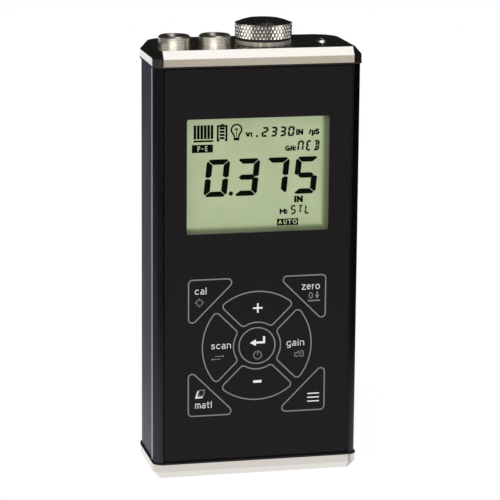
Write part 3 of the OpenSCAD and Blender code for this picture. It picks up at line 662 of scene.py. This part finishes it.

# %% [markdown]
# ## Display frame and window
# The walls of the recess are grey, and painted green near the glass, a painted reflection of its
# light.
# The window itself is nearly invisible from straight ahead. A Fresnel node makes it cover more at a
# shallow angle, as clear plastic does.

# %% Display frame and window
frame_grey_and_glow, wall_tree, wall_shader = new_finish("frame_grey_and_glow")
# Painted reflection: bright green near the glass fades to the grey of the wall at the window.
wall_tones_and_glow = [
    (0.0, (0.50, 0.58, 0.34)), (0.16, (0.38, 0.44, 0.25)), (0.36, (0.235, 0.265, 0.155)),
    (0.65, (0.195, 0.215, 0.14)), (1.0, (0.19, 0.195, 0.17)),
]
wall_depth = place_ramp(wall_tree, "Y", -9.75, -15.15, even_rise)
feed(wall_shader["Base Color"], stops(wall_depth, wall_tones_and_glow))
wall_grain = vary_roughness(wall_shader, fine_grain, 0.35, 0.5, 0.68)
add_relief(wall_shader, wall_grain["Height"], 0.2, GRAIN_DEPTH)
dress(frame_grey_and_glow, "display_bezel")

CLEAR_IOR, CLEAR_RISE, CLEAR_LEAST = 1.4, 0.4, 0.005
clear_window, clear_tree, clear_shader = new_finish(
    "clear_window", **{"Specular IOR Level": 0.5, "Base Color": (0.02, 0.022, 0.02, 1)}
)
clear_rim = add_node(clear_tree, "Fresnel", IOR=CLEAR_IOR).outputs[0]
clear_cover = calc("MULTIPLY_ADD", clear_rim, CLEAR_RISE, CLEAR_LEAST, use_clamp=True)
feed(clear_shader["Alpha"], clear_cover)
vary_roughness(clear_shader, soft_patches, 14, 0.03, 0.09)
dress(clear_window, "display_window")

# %% [markdown]
# ## Striped pieces inside
# Inside pieces show only when the gauge is taken apart, but each still gets its own finish. Three
# are striped: amber flex film with copper tracks, a green board with its traces, and the wrap of the
# cells with one pale band.

# %% Striped pieces inside
STRIPE_DEPTH = 0.03 * MM


def striped_finish(name, ground, stripe, axis, pitch_mm, share, rough):
    finish, tree, shader = new_finish(name)
    pitch = {"Pitch_mm": pitch_mm, "Share": share}
    stripes = place_group(tree, even_stripes, Axis=AXES[axis], **pitch)["Mask"]
    feed(shader["Base Color"], mix_tones(stripes, ground, stripe))
    vary_roughness(shader, fine_grain, 0.4, *rough)
    add_relief(shader, stripes, 0.3, STRIPE_DEPTH)
    return finish


for *look, pieces in [
    ("flex_amber", (0.46, 0.23, 0.045), (0.60, 0.33, 0.11), "X", 1.0, 0.5, (0.3, 0.45),
     ("keypad_circuit", "keypad_tail", "display_ribbon")),
    ("board_green", (0.012, 0.085, 0.038), (0.020, 0.125, 0.060), "Z", 1.6, 0.35, (0.28, 0.42),
     ("main_board",)),
    ("cell_sleeve", (0.045, 0.10, 0.22), (0.50, 0.42, 0.22), "Z", 50.52, 0.22, (0.22, 0.34),
     ("lower_cell", "upper_cell")),
]:
    dress(striped_finish(*look), *pieces)

# %% [markdown]
# ## Plain pieces inside
# The rest is matt black chips, aluminium cans, ivory mouldings, gold contacts, dark lead jackets and
# a milky light plate. They use the same table as the outside.

# %% Plain pieces inside
dress_table([
    ("chip_black", (0.012, 0.012, 0.014), (0.022, 0.023, 0.026), (0.5, 0.65), 0.15, 0.3,
     {}, "board_chips"),
    ("can_aluminium", (0.50, 0.52, 0.55), (0.62, 0.64, 0.67), (0.25, 0.4), 0.2, 0.15,
     {"metal": 1.0}, "board_capacitors"),
    ("socket_ivory", (0.72, 0.69, 0.60), (0.80, 0.77, 0.68), (0.4, 0.55), 0.5, 0.15,
     {}, "keypad_tail_socket", "display_ribbon_socket"),
    ("insulator_white", (0.76, 0.74, 0.68), (0.84, 0.82, 0.77), (0.3, 0.45), 0.6, 0.1,
     {}, "left_socket_insulator", "right_socket_insulator"),
    ("contact_gold", (0.70, 0.46, 0.14), (0.85, 0.60, 0.24), (0.15, 0.3), 0.15, 0.2,
     TURNED, "left_socket_contact", "right_socket_contact"),
    ("lead_sheath", (0.030, 0.034, 0.042), (0.048, 0.052, 0.062), (0.45, 0.6), 0.5, 0.2,
     {}, "left_socket_lead", "right_socket_lead"),
    ("plug_aluminium", (0.55, 0.56, 0.58), (0.70, 0.71, 0.73), (0.22, 0.38), 0.3, 0.25,
     {"edge_mm": 0.1, "edge_tone": (0.8, 0.8, 0.8), **TURNED}, "battery_plug"),
    ("backlight_milky", (0.76, 0.79, 0.68), (0.84, 0.87, 0.76), (0.3, 0.45), 0.8, 0.1,
     {}, "display_backlight"),
])

# %% [markdown]
# ## Printed marks as thin solids
# Ink on film is a few hundredths of a millimetre thick. Each mark is drawn as flat outlines in
# millimetres across the front and raised into one thin closed solid. BMesh builds the two faces and
# the walls between them, and the finished mark rides on the body that it is printed on.

# %% Printed marks as thin solids
MARK_LIFT_MM, MARK_SINK_MM = 0.03, 0.01


def walls(build, first, second):
    for i in range(len(first)):
        j = (i + 1) % len(first)
        build.faces.new((first[i], first[j], second[j], second[i]))


def finish_mesh(build, name):
    bmesh.ops.recalc_face_normals(build, faces=build.faces)
    mesh = bpy.data.meshes.new(name)
    build.to_mesh(mesh)
    build.free()
    return mesh


def settle_mark(name, mesh, body, ink):
    mesh.materials.append(ink)
    mark = bpy.data.objects.new(name, mesh)
    scene.collection.objects.link(mark)
    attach(mark, body)
    return mark


def raise_marks(name, shapes, face_mm, body, ink, lift_mm=MARK_LIFT_MM):
    build = bmesh.new()
    depths = [(face_mm - lift_mm) * MM, (face_mm + MARK_SINK_MM) * MM]
    for loops in shapes:
        rims = [
            [[build.verts.new((x * MM, y, z * MM)) for x, z in loop] for y in depths]
            for loop in loops
        ]
        for front, back in rims:
            walls(build, front, back)
        for side in (0, 1):
            if len(rims) == 1:
                build.faces.new(rims[0][side])
            else:
                walls(build, rims[0][side], rims[1][side])
    settle_mark(name, finish_mesh(build, name), body, ink)


print("marks stand", MARK_LIFT_MM, "mm proud")

# %% [markdown]
# ## Outlines of marks
# An outline is a filled loop, or a band between two loops with the same number of points. A mark is
# a list of them, so marks can be added up.

# %% Outlines of marks
def fill(loop):
    return [[[tuple(p) for p in loop]]]


def band(outer, inner):
    return [fill(outer)[0] + fill(inner)[0]]


print("outlines: filled loops and bands")

# %% [markdown]
# ## Inks
# White and grey ink print the keys. The display's segments are nearly black, with a trace of green,
# and hardly shine, because they lie under glass.

# %% Inks
INK = {"grain_mm": 0.2, "bump": 0.15, "specular": 0.3}
white_ink = made_finish("white_ink", (0.84, 0.84, 0.84), (0.94, 0.94, 0.94), (0.45, 0.6), **INK)
grey_ink = made_finish("grey_ink", (0.200, 0.190, 0.190), (0.270, 0.258, 0.258), (0.45, 0.6), **INK)
segment_black = made_finish(
    "segment_black", (0.0010, 0.0022, 0.0006), (0.0020, 0.0038, 0.0011), (0.5, 0.65),
    grain_mm=0.3, bump=0.05, specular=0.03
)
print("inks:", white_ink.name, grey_ink.name, segment_black.name)

# %% [markdown]
# ## Key shapes
# A key's outline is drawn from the sizes of the keypad, grown or shrunk by a margin, so its rounded
# corners stay even. Four curved keys share one outline, four corner keys another.

# %% Key shapes
PANEL = round(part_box("keypad_overlay")[0][1] / MM, 4)
ENTER_LOW, ENTER_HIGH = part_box("key_enter")
KEYPAD_Z = (ENTER_LOW[2] + ENTER_HIGH[2]) / 2 / MM
ENTER_R = (ENTER_HIGH[0] - ENTER_LOW[0]) / 2 / MM
RING_IN_R, RING_R, KEY_SPLIT, KEY_ROUND = 7.1, 17.1, 1.7, 1.4
CORNER_REACH, CORNER_LEG = 21.4, 15.6


def arc(centre, r, start, end, steps):
    angles = [math.radians(start + (end - start) * i / steps) for i in range(steps + 1)]
    return [(centre[0] + r * math.cos(a), centre[1] + r * math.sin(a)) for a in angles]


def turned(loop, angle, dx=0.0, dz=0.0):
    c, s = math.cos(math.radians(angle)), math.sin(math.radians(angle))
    return [(x * c - z * s + dx, x * s + z * c + dz) for x, z in loop]


def fillet_place(reach, side):
    z = (math.sqrt(2 * reach ** 2 - side ** 2) - side) / 2
    return (z + side, z), math.degrees(math.atan2(z, z + side))


def ring_key_loop(grow):
    outer, inner, fillet = RING_R + grow, RING_IN_R - grow, KEY_ROUND + grow
    side = (KEY_SPLIT / 2 - grow + fillet) * math.sqrt(2)
    far, far_a = fillet_place(outer - fillet, side)
    near, near_a = fillet_place(inner + fillet, side)
    half = arc((0, 0), outer, 0, far_a, 16) + arc(far, fillet, far_a, 135, 8)
    half += arc(near, fillet, 135, near_a + 180, 8) + arc((0, 0), inner, near_a, 0, 8)
    return half + [(x, -z) for x, z in reversed(half[1:-1])]


def corner_key_loop(grow):
    fillet, tip = KEY_ROUND + grow, CORNER_REACH + grow
    leg = CORNER_LEG + grow * (2 + math.sqrt(2))
    inset = fillet / math.tan(math.radians(22.5))
    loop = arc((tip - fillet, tip - fillet), fillet, 0, 90, 8)
    loop += arc((tip - leg + inset, tip - fillet), fillet, 90, 225, 12)
    return loop + arc((tip - fillet, tip - leg + inset), fillet, 225, 360, 12)


def round_key_loop(grow):
    return arc((0, 0), ENTER_R + grow, 0, 355, 71)


print("key shapes round z", round(KEYPAD_Z, 2), "on the panel at y", PANEL)

# %% [markdown]
# ## Key outlines
# Each key is edged with a thin grey line, which is the band between two of its outlines. The shared
# outlines are turned in quarter turns.

# %% Key outlines
LINE_W, LINE_MARGIN = 0.38, 0.01


def print_key(key, part, shapes, ink):
    raise_marks("key_" + key + "_" + part, shapes, PANEL, "key_" + key, ink)


key_turns = {
    "gain": (ring_key_loop, 0), "plus": (ring_key_loop, 90), "scan": (ring_key_loop, 180),
    "minus": (ring_key_loop, 270), "zero": (corner_key_loop, 0), "cal": (corner_key_loop, 90),
    "material": (corner_key_loop, 180), "menu": (corner_key_loop, 270), "enter": (round_key_loop, 0),
}
margins = (-LINE_MARGIN, -LINE_MARGIN - LINE_W)
for name, (loop_of, angle) in key_turns.items():
    outer, inner = [turned(loop_of(margin), angle, 0, KEYPAD_Z) for margin in margins]
    print_key(name, "outline", band(outer, inner), grey_ink)
print("key outlines:", len(key_turns))

# %% [markdown]
# ## Snap domes
# Under each key lies a dish of spring steel that clicks when it is pressed. The CAD keeps plain
# cones there. Here each dome is a thin crowned shell: an outer and a lower inner curve are turned
# about its axis and meet in a flat rim. The crown stays a hair below the reach of a pressed key.

# %% Snap domes
DOME_R, DOME_H, DOME_SKIN, DOME_TURNS, DOME_RINGS = 2.6, 0.28, 0.06, 32, 6
DOME_RIM, CORNER_DOME_SHARE = 2.5 * DOME_SKIN, 0.31
dome_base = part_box("key_domes")[1][1] / MM
corner_dome = CORNER_REACH - CORNER_DOME_SHARE * CORNER_LEG
ring_dome = (RING_IN_R + RING_R) / 2
dome_places = [(0, 0), (ring_dome, 0), (0, ring_dome), (-ring_dome, 0), (0, -ring_dome)]
dome_places += [(x * corner_dome, z * corner_dome) for x in (-1, 1) for z in (-1, 1)]


def dome_curve(r, h):
    shares = [i / DOME_RINGS for i in range(DOME_RINGS + 1)]
    return [(r * share, h * (1 - share ** 2)) for share in shares]


def add_dome(build, x, z):
    outside = dome_curve(DOME_R, DOME_H)
    inside = dome_curve(DOME_R - DOME_RIM, DOME_H - DOME_SKIN)
    rings = []
    for r, h in outside[1:] + inside[:0:-1]:
        circle = arc((x, z), r, 0, 360 - 360 / DOME_TURNS, DOME_TURNS - 1)
        y = (dome_base - h) * MM
        rings.append([build.verts.new((px * MM, y, pz * MM)) for px, pz in circle])
    for near, far in zip(rings, rings[1:]):
        walls(build, near, far)
    for ring_verts, height in ((rings[0], outside[0][1]), (rings[-1], inside[0][1])):
        tip = build.verts.new((x * MM, (dome_base - height) * MM, z * MM))
        for i in range(DOME_TURNS):
            build.faces.new((ring_verts[i], ring_verts[(i + 1) % DOME_TURNS], tip))


dome_build = bmesh.new()
for x, z in dome_places:
    add_dome(dome_build, x, KEYPAD_Z + z)
for face in dome_build.faces:
    face.smooth = True
dome_mesh = finish_mesh(dome_build, "key_snap_domes")
snap_domes = settle_mark("key_snap_domes", dome_mesh, "case", bpy.data.materials["bright_steel"])
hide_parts("key_domes")
print("snap domes:", len(dome_places), "on the key circuit at y", round(dome_base, 2))

# %% [markdown]
# ## A pen
# Letters and symbols are drawn with one pen. It lays a line of even width along a path, with mitred
# corners. Bows and ovals are paths on a stretched circle, and a disc is a filled one.

# %% A pen
MITRE_LIMIT = 0.35


def stroke(path, width):
    points = [Vector(p) for p in path]
    left, right = [], []
    for i, p in enumerate(points):
        before = (p - points[i - 1]).normalized() if i else None
        after = (points[i + 1] - p).normalized() if i + 1 < len(points) else None
        a, b = before or after, after or before
        middle = (a + b).normalized()
        side = Vector((-middle.y, middle.x))
        reach = width / 2 / max(MITRE_LIMIT, side.dot(Vector((-a.y, a.x))))
        left.append(p + side * reach)
        right.append(p - side * reach)
    return fill(left + right[::-1])


def bow(x, z, rx, rz, start, end, steps=14):
    return [(x + rx * c, z + rz * s) for c, s in arc((0, 0), 1, start, end, steps)]


def oval(x, z, rx, rz, steps=28):
    return bow(x, z, rx, rz, 0, 360 - 360 / steps, steps - 1)


def disc(x, z, r, steps=16):
    return fill(oval(x, z, r, r, steps))


print("pen ready")

# %% [markdown]
# ## An alphabet
# Every letter is a few open paths on a body one unit high. Round letters share a bowl, which is two
# half bows. Many letters share a stem, and n and m share a hump. A path of one point is a dot.

# %% An alphabet
def bowl(x, rx):
    return [bow(x, 0.5, rx, 0.5, 0, 180), bow(x, 0.5, rx, 0.5, 180, 360)]


def hump(x, z, rx, rz):
    return [*bow(x, z, rx, rz, 175, 0, 8), (x + rx, 0)]


def belly(x, z, rx, rz):
    return bow(x, z, rx, rz, 90, -90, 8)


STEM = [(0.1, 0), (0.1, 1)]
LETTERS = {
    "c": [bow(0.45, 0.5, 0.42, 0.5, 42, 318)],
    "a": [
        [*bow(0.4, 0.66, 0.34, 0.34, 135, 0, 8), (0.74, 0)],
        [(0.74, 0.52), *bow(0.36, 0.26, 0.32, 0.26, 90, 270, 8), (0.52, 0.02), (0.74, 0.22)],
    ],
    "l": [[(0.1, 0), (0.1, 1.42)]],
    "i": [STEM, [(0.1, 1.36)]],
    "z": [[(0.05, 1), (0.76, 1)], [(0.74, 0.97), (0.06, 0.03)], [(0.04, 0), (0.8, 0)]],
    "e": [[(0.06, 0.52), (0.86, 0.52)], bow(0.46, 0.5, 0.42, 0.5, 4, 318)],
    "r": [STEM, bow(0.5, 0.5, 0.38, 0.5, 165, 88, 6)],
    "o": bowl(0.46, 0.44),
    "s": [[
        (0.7, 0.78), (0.6, 0.94), (0.4, 1.0), (0.18, 0.93), (0.11, 0.76), (0.2, 0.62), (0.58, 0.44),
        (0.72, 0.27), (0.63, 0.07), (0.4, 0), (0.18, 0.05), (0.06, 0.22),
    ]],
    "n": [STEM, hump(0.44, 0.62, 0.34, 0.38)],
    "g": bowl(0.42, 0.36) + [[(0.78, 1), (0.78, -0.22), *bow(0.43, -0.22, 0.35, 0.28, 0, -150, 8)]],
    "m": [STEM, hump(0.37, 0.66, 0.27, 0.34), hump(0.91, 0.66, 0.27, 0.34)],
    "t": [
        [(0.26, 1.32), (0.26, 0.22), *bow(0.46, 0.2, 0.2, 0.2, 190, 290, 5)], [(0.02, 1), (0.55, 1)],
    ],
    "d": bowl(0.42, 0.36) + [[(0.78, 0), (0.78, 1.42)]],
    "B": [
        [(0.1, 0), (0.1, 1.4)], [(0.1, 1.4), *belly(0.5, 1.07, 0.27, 0.33), (0.1, 0.74)],
        [(0.5, 0.74), *belly(0.55, 0.37, 0.3, 0.37), (0.1, 0)],
    ],
    "V": [[(0, 1), (0.42, 0)], [(0.42, 0), (0.84, 1)]],
    "I": [STEM],
    "N": [STEM, [(0.1, 1), (0.76, 0)], [(0.76, 0), (0.76, 1)]],
    "S": [[
        (0.74, 0.8), (0.6, 0.96), (0.4, 1.0), (0.16, 0.92), (0.1, 0.74), (0.2, 0.6), (0.6, 0.44),
        (0.74, 0.26), (0.64, 0.07), (0.4, 0), (0.16, 0.05), (0.04, 0.22),
    ]],
    "G": [bow(0.5, 0.5, 0.46, 0.5, 48, 330), [(0.55, 0.44), (0.95, 0.44), (0.95, 0.05)]],
    "M": [STEM, [(0.1, 1), (0.6, 0.4)], [(0.6, 0.4), (1.1, 1)], [(1.1, 1), (1.1, 0)]],
    "P": [STEM, [(0.1, 1), *belly(0.46, 0.72, 0.28, 0.28), (0.1, 0.44)]],
    "E": [STEM, [(0.1, 1), (0.72, 1)], [(0.1, 0.5), (0.64, 0.5)], [(0.1, 0), (0.72, 0)]],
    "A": [[(0, 0), (0.42, 1)], [(0.42, 1), (0.84, 0)], [(0.18, 0.34), (0.66, 0.34)]],
    "U": [[(0.1, 1), *bow(0.43, 0.36, 0.33, 0.36, 180, 360, 10), (0.76, 1)]],
    "T": [[(0, 1), (0.8, 1)], [(0.4, 1), (0.4, 0)]],
    "O": bowl(0.46, 0.46),
    "µ": [
        [(0.1, 0.7), (0.1, -0.3)],
        [(0.1, 0.3), *bow(0.36, 0.22, 0.26, 0.22, 180, 360, 8), (0.62, 0.7)],
    ],
    "/": [[(0, 0), (0.4, 1)]],
    "-": [[(0.02, 0.46), (0.4, 0.46)]],
    ":": [[(0.1, 0.14)], [(0.1, 0.7)]],
}
print("letters:", "".join(LETTERS))

# %% [markdown]
# ## Words on the keys
# The words say what each key does. The paths of a word are set side by side and fitted to the box
# that the word fills on the panel. Upright and level lines end square, half a pen width beyond the
# path.

# %% Words on the keys
DOT_SHARE, NO_SLANT = 0.62, 1e-6


def square_end(before, end, pen_mm):
    dx, dz = end[0] - before[0], end[1] - before[1]
    if abs(dx) > NO_SLANT and abs(dz) > NO_SLANT:
        return end
    reach = pen_mm / 2 / math.hypot(dx, dz)
    return (end[0] + dx * reach, end[1] + dz * reach)


def write(words, box_mm, pen_mm, gap=0.3):
    paths, along = [], 0.0
    for letter in words:
        paths += [[(along + x, z) for x, z in path] for path in LETTERS[letter]]
        along = max(x for path in paths for x, z in path) + gap
    xs, zs = zip(*[point for path in paths for point in path])
    x0, x1, z0, z1 = [v + pen_mm / 2 * sign for v, sign in zip(box_mm, (1, -1, 1, -1))]
    wide, tall = (x1 - x0) / (max(xs) - min(xs)), (z1 - z0) / (max(zs) - min(zs))
    shapes = []
    for path in paths:
        fitted = [(x0 + (x - min(xs)) * wide, z0 + (z - min(zs)) * tall) for x, z in path]
        if len(fitted) == 1:
            shapes += disc(*fitted[0], DOT_SHARE * pen_mm)
            continue
        fitted[0] = square_end(fitted[1], fitted[0], pen_mm)
        fitted[-1] = square_end(fitted[-2], fitted[-1], pen_mm)
        shapes += stroke(fitted, pen_mm)
    return shapes


KEY_PEN_MM, KEY_LETTER_GAP = 0.215, 0.34
key_words = {
    "cal": ("cal", (-19.3, -15.72, 57.27, 59.4)),
    "zero": ("zero", (13.75, 19.4, 57.35, 58.95)),
    "scan": ("scan", (-14.2, -8.1, 40.1, 41.65)),
    "gain": ("gain", (9.2, 14.7, 39.3, 41.95)),
    "material": ("matl", (-19.1, -13.98, 21.75, 23.9)),
}
for name, (words, box) in key_words.items():
    print_key(name, "word", write(words, box, KEY_PEN_MM, KEY_LETTER_GAP), white_ink)
print_key("gain", "unit", write("dB", (11.6, 14.7, 36.4, 38.4), 0.26), grey_ink)
print("key words:", [words for words, box in key_words.values()])

# %% [markdown]
# ## White key symbols
# Symbols use the same pen as the letters. Arrow heads and bars are filled loops. The plus, which is
# one corner turned four times, the minus and the enter arrow are white.

# %% White key symbols
def bar(x0, x1, z0, z1):
    return fill([(x0, z0), (x1, z0), (x1, z1), (x0, z1)])


plus_x, plus_z, plus_arm, plus_w = 0.15, 52.3, 1.47, 0.25
plus_corner = [(-plus_w, -plus_arm), (plus_w, -plus_arm), (plus_w, -plus_w)]
plus_loop = [p for angle in (0, 90, 180, 270) for p in turned(plus_corner, angle, plus_x, plus_z)]
print_key("plus", "sign", fill(plus_loop), white_ink)
print_key("minus", "sign", bar(-1.1, 1.5, 28.9, 29.7), white_ink)

enter_loop = [
    (-2.2, 41.5), (-0.35, 42.55), (-0.35, 41.82), (1.85, 41.82), (1.85, 43.4), (2.5, 43.4),
    (2.5, 41.18), (-0.35, 41.18), (-0.35, 40.45),
]
print_key("enter", "arrow", fill(enter_loop), white_ink)
print("white symbols on plus, minus and enter")

# %% [markdown]
# ## Grey key symbols
# Second functions are grey: a power ring, a target, a zero with an arrow onto a line, two arrows to
# and fro, and a sheet with a bright lower edge. The three bars of the menu are white again.

# %% Grey key symbols
def ring(x, z, r, width, start, end, steps=24):
    return stroke(arc((x, z), r, start, end, steps), width)


def arrow(tail, tip, width, head_l, head_w):
    tail, tip = Vector(tail), Vector(tip)
    along = (tip - tail).normalized()
    side = Vector((-along.y, along.x))
    neck, half, wing = tip - along * head_l, side * width / 2, side * head_w / 2
    return fill([tail + half, tail - half, neck - half, neck - wing, tip, neck + wing, neck + half])


power_mark = ring(0.2, 37.6, 1.22, 0.27, 112, 428, 30) + bar(0.06, 0.34, 37.65, 39.1)
print_key("enter", "power", power_mark, grey_ink)

cross_x, cross_z = -17.85, 54.75
cross_tick = [(0.6, -0.1), (1.48, -0.1), (1.48, 0.1), (0.6, 0.1)]
cross_mark = []
for angle in (0, 90, 180, 270):
    cross_mark += ring(cross_x, cross_z, 0.95, 0.19, angle, angle + 90, 8)
    cross_mark += fill(turned(cross_tick, angle, cross_x, cross_z))
print_key("cal", "cross", cross_mark, grey_ink)

zero_mark = band(oval(16.6, 55.45, 0.64, 1.04), oval(16.6, 55.45, 0.36, 0.76))
zero_mark += arrow((18.6, 56.6), (18.6, 54.4), 0.44, 1.1, 1.4) + bar(15.7, 19.5, 53.62, 54.0)
print_key("zero", "arrow", zero_mark, grey_ink)

scan_mark = arrow((-13.0, 37.8), (-10.1, 37.8), 0.2, 0.65, 0.75)
scan_mark += arrow((-11.3, 36.9), (-14.2, 36.9), 0.2, 0.65, 0.75)
print_key("scan", "arrows", scan_mark, grey_ink)

sheet_outer = [(-18.42, 25.5), (-16.43, 25.58), (-16.0, 27.62), (-17.9, 27.55)]
sheet_inner = [(-18.06, 25.78), (-16.68, 25.84), (-16.36, 27.33), (-17.68, 27.28)]
print_key("material", "sheet", band(sheet_outer, sheet_inner), grey_ink)
sheet_shade = [
    (-19.1, 24.9), (-16.8, 25.0), (-16.64, 25.42), (-18.5, 25.36), (-18.0, 27.45), (-18.45, 27.1),
]
print_key("material", "shade", fill(sheet_shade), white_ink)
menu_bars = [bar(15.9, 19.6, z, z + 0.34) for z in (24.43, 23.21, 21.98)]
print_key("menu", "bars", sum(menu_bars, []), white_ink)
print("grey symbols on enter, cal, zero, scan and material, and bars on menu")

# %% [markdown]
# ## One digit
# A display of this kind switches fixed segments. A digit is seven of them: three bars and four
# uprights, with mitred ends and a hair of light between neighbours, all leaning a little to the
# right. One bar and one upright are drawn, and the rest are their mirror images.

# %% One digit
GLASS = round(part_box("display_glass")[0][1] / MM, 4)
LEAN = 0.10
DIGIT_SEGMENTS = {"0": "abcdef", "2": "abged", "3": "abgcd", "5": "afgcd", "7": "abc"}


def leaned(loop, x0, z0):
    return [(x0 + x + LEAN * z, z0 + z) for x, z in loop]


def digit_shapes(digit, x0, x1, z0, z1, upright_w, bar_h, gap):
    h = z1 - z0
    w, m = x1 - x0 - LEAN * h, h / 2
    t, s, c, k = upright_w, bar_h, 0.55 * upright_w, gap * 0.7
    top = [
        (c / 2 + k / 2, h - c / 2 + k / 2), (c, h), (w - c, h),
        (w - c / 2 - k / 2, h - c / 2 + k / 2), (w - t - k, h - s), (t + k, h - s),
    ]
    upright = [
        (c / 2 - k / 2, h - c / 2 - k / 2), (t, h - s - k), (t, m + 0.36 * s + k * 0.4),
        (t / 2, m + k * 0.8), (0, m + k + 0.16 * t), (0, h - c),
    ]
    middle = [
        (t / 2 + k, m), (t + k * 0.6, m + s / 2), (w - t - k * 0.6, m + s / 2),
        (w - t / 2 - k, m), (w - t - k * 0.6, m - s / 2), (t + k * 0.6, m - s / 2),
    ]

    def across(loop):
        return [(w - x, z) for x, z in loop]

    def down(loop):
        return [(x, h - z) for x, z in loop]

    loops = {
        "a": top, "d": down(top), "f": upright, "b": across(upright), "e": down(upright),
        "c": across(down(upright)), "g": middle,
    }
    return sum([fill(leaned(loops[name], x0, z0)) for name in DIGIT_SEGMENTS[digit]], [])


print("digits:", ", ".join(DIGIT_SEGMENTS))

# %% [markdown]
# ## Display digits
# The large reading and the small speed are rows of such digits. Each has its own point.

# %% Display digits
def print_display(part, shapes, ink=segment_black, lift_mm=MARK_LIFT_MM):
    raise_marks("display_" + part, shapes, GLASS, "case", ink, lift_mm)


reading = []
for digit, x0, x1 in (("0", -15.7, -7.4), ("3", -6.5, 1.85), ("7", 2.55, 11.0), ("5", 11.8, 20.05)):
    reading += digit_shapes(digit, x0, x1, 85.9, 97.3, 1.85, 1.6, 0.18)
print_display("reading", reading + disc(-7.2, 86.75, 0.68))

speed = bar(0.4, 1.02, 103.7, 104.32)
for digit, x0, x1 in (("2", 2.0, 4.3), ("3", 4.75, 7.05), ("3", 7.5, 9.8), ("0", 10.1, 12.4)):
    speed += digit_shapes(digit, x0, x1, 103.7, 106.7, 0.64, 0.6, 0.07)
print_display("speed", speed)
print("digits on the glass at y", GLASS)

# %% [markdown]
# ## Display letters
# Small letters use thinner segments, with a split middle and two short inner uprights.

# %% Display letters
LETTER_SEGMENTS = {"M": "afebc", "E": "adefg", "D": "abcdil", "S": "afgjcd", "T": "ail", "L": "fed"}
SEGMENT_GAP = 0.07


def letter_shapes(letter, x0, x1, z0, z1, t):
    h = z1 - z0
    w, m, g, q = x1 - x0 - LEAN * h, h / 2, SEGMENT_GAP, t / 2
    lines = {
        "a": ((q + g, h - q), (w - q - g, h - q)), "d": ((q + g, q), (w - q - g, q)),
        "f": ((q, h - q - g), (q, m + g)), "e": ((q, m - g), (q, q + g)),
        "b": ((w - q, h - q - g), (w - q, m + g)), "c": ((w - q, m - g), (w - q, q + g)),
        "g": ((q + g, m), (w / 2 - g, m)), "j": ((w / 2 + g, m), (w - q - g, m)),
        "i": ((w / 2, h - t - g), (w / 2, m + g)), "l": ((w / 2, m - g), (w / 2, t + g)),
    }
    strokes = sum([stroke(lines[name], t) for name in LETTER_SEGMENTS[letter]], [])
    return sum([fill(leaned(loop, x0, z0)) for loop, in strokes], [])


choices = []
for letter, x0, x1 in (("M", 13.1, 15.35), ("E", 15.75, 17.75), ("D", 18.0, 20.2)):
    choices += letter_shapes(letter, x0, x1, 99.05, 102.25, 0.56)
for letter, x0, x1 in (("S", 11.2, 13.1), ("T", 13.4, 15.3), ("L", 15.6, 17.5)):
    choices += letter_shapes(letter, x0, x1, 79.65, 82.45, 0.48)
print_display("choices", choices)
print("letters made of segments:", "".join(LETTER_SEGMENTS))

# %% [markdown]
# ## Display symbols
# Along the top stand a bar meter, a battery and a lamp, drawn with bars and strokes.

# %% Display symbols
METER_BARS, METER_PITCH = 6, 1.04
symbols = []
for i in range(METER_BARS):
    symbols += bar(-18.7 + i * METER_PITCH, -17.88 + i * METER_PITCH, 103.6, 107.8)
symbols += bar(-18.68, -12.7, 102.68, 103.25)

battery_left = [(-10.85, 103.08), (-11.33, 103.08), (-11.33, 107.4), (-10.0, 107.4)]
battery_right = [(-9.15, 103.08), (-8.67, 103.08), (-8.67, 107.4), (-10.0, 107.4)]
symbols += stroke(battery_left, 0.6) + stroke(battery_right, 0.6) + bar(-10.5, -9.5, 107.55, 108.0)
for z in (103.75, 104.72, 105.69, 106.66):
    symbols += bar(-10.78, -9.22, z - 0.34, z + 0.34)

bulb_path = [(-6.25, 103.85), (-6.35, 104.35)] + arc((-5.6, 106.15), 1.58, 232, -52, 28)
bulb_path += [(-4.85, 104.35), (-4.95, 103.85)]
filament = [(-6.1, 106.0), (-5.85, 106.5), (-5.6, 106.0), (-5.35, 106.5), (-5.1, 106.0)]
symbols += stroke(bulb_path, 0.5) + bar(-6.45, -4.75, 102.9, 103.8)
symbols += stroke(filament, 0.24) + bar(-5.72, -5.48, 104.0, 105.7)
print_display("symbols", symbols)
print("symbols: meter, battery, lamp")

# %% [markdown]
# ## Display words
# Short unit words sit beside the numbers. Two words are light on a dark field: the field is raised
# first, and the word lies on it in the colour of the ground.

# %% Display words
FIELD_WORD_LIFT_MM = 0.05
print_display("fields", bar(-19.2, -12.8, 99.5, 101.9) + bar(7.1, 13.7, 76.3, 78.4))
mode_word = write("P-E", (-17.5, -14.4, 99.92, 101.5), 0.25, 0.8)
print_display("mode_word", mode_word, display_ground, FIELD_WORD_LIFT_MM)
auto_word = write("AUTO", (7.5, 13.3, 76.65, 78.1), 0.28, 0.55)
print_display("auto_word", auto_word, display_ground, FIELD_WORD_LIFT_MM)

display_words = {
    "speed_label": ("V:", (-2.9, -0.75, 103.7, 105.55), 0.54),
    "speed_unit": ("IN", (12.75, 14.95, 103.95, 105.75), 0.54),
    "speed_time": ("/µS", (16.6, 20.0, 103.5, 105.8), 0.5),
    "gain_label": ("GN:", (9.4, 12.8, 99.15, 100.8), 0.42),
    "reading_unit": ("IN", (12.4, 15.1, 83.3, 85.3), 0.66),
    "material_label": ("M:", (7.9, 10.3, 79.75, 81.5), 0.5),
}
for name, (words, box, pen) in display_words.items():
    print_display(name, write(words, box, pen))
print("display words:", [entry[0] for entry in display_words.values()])
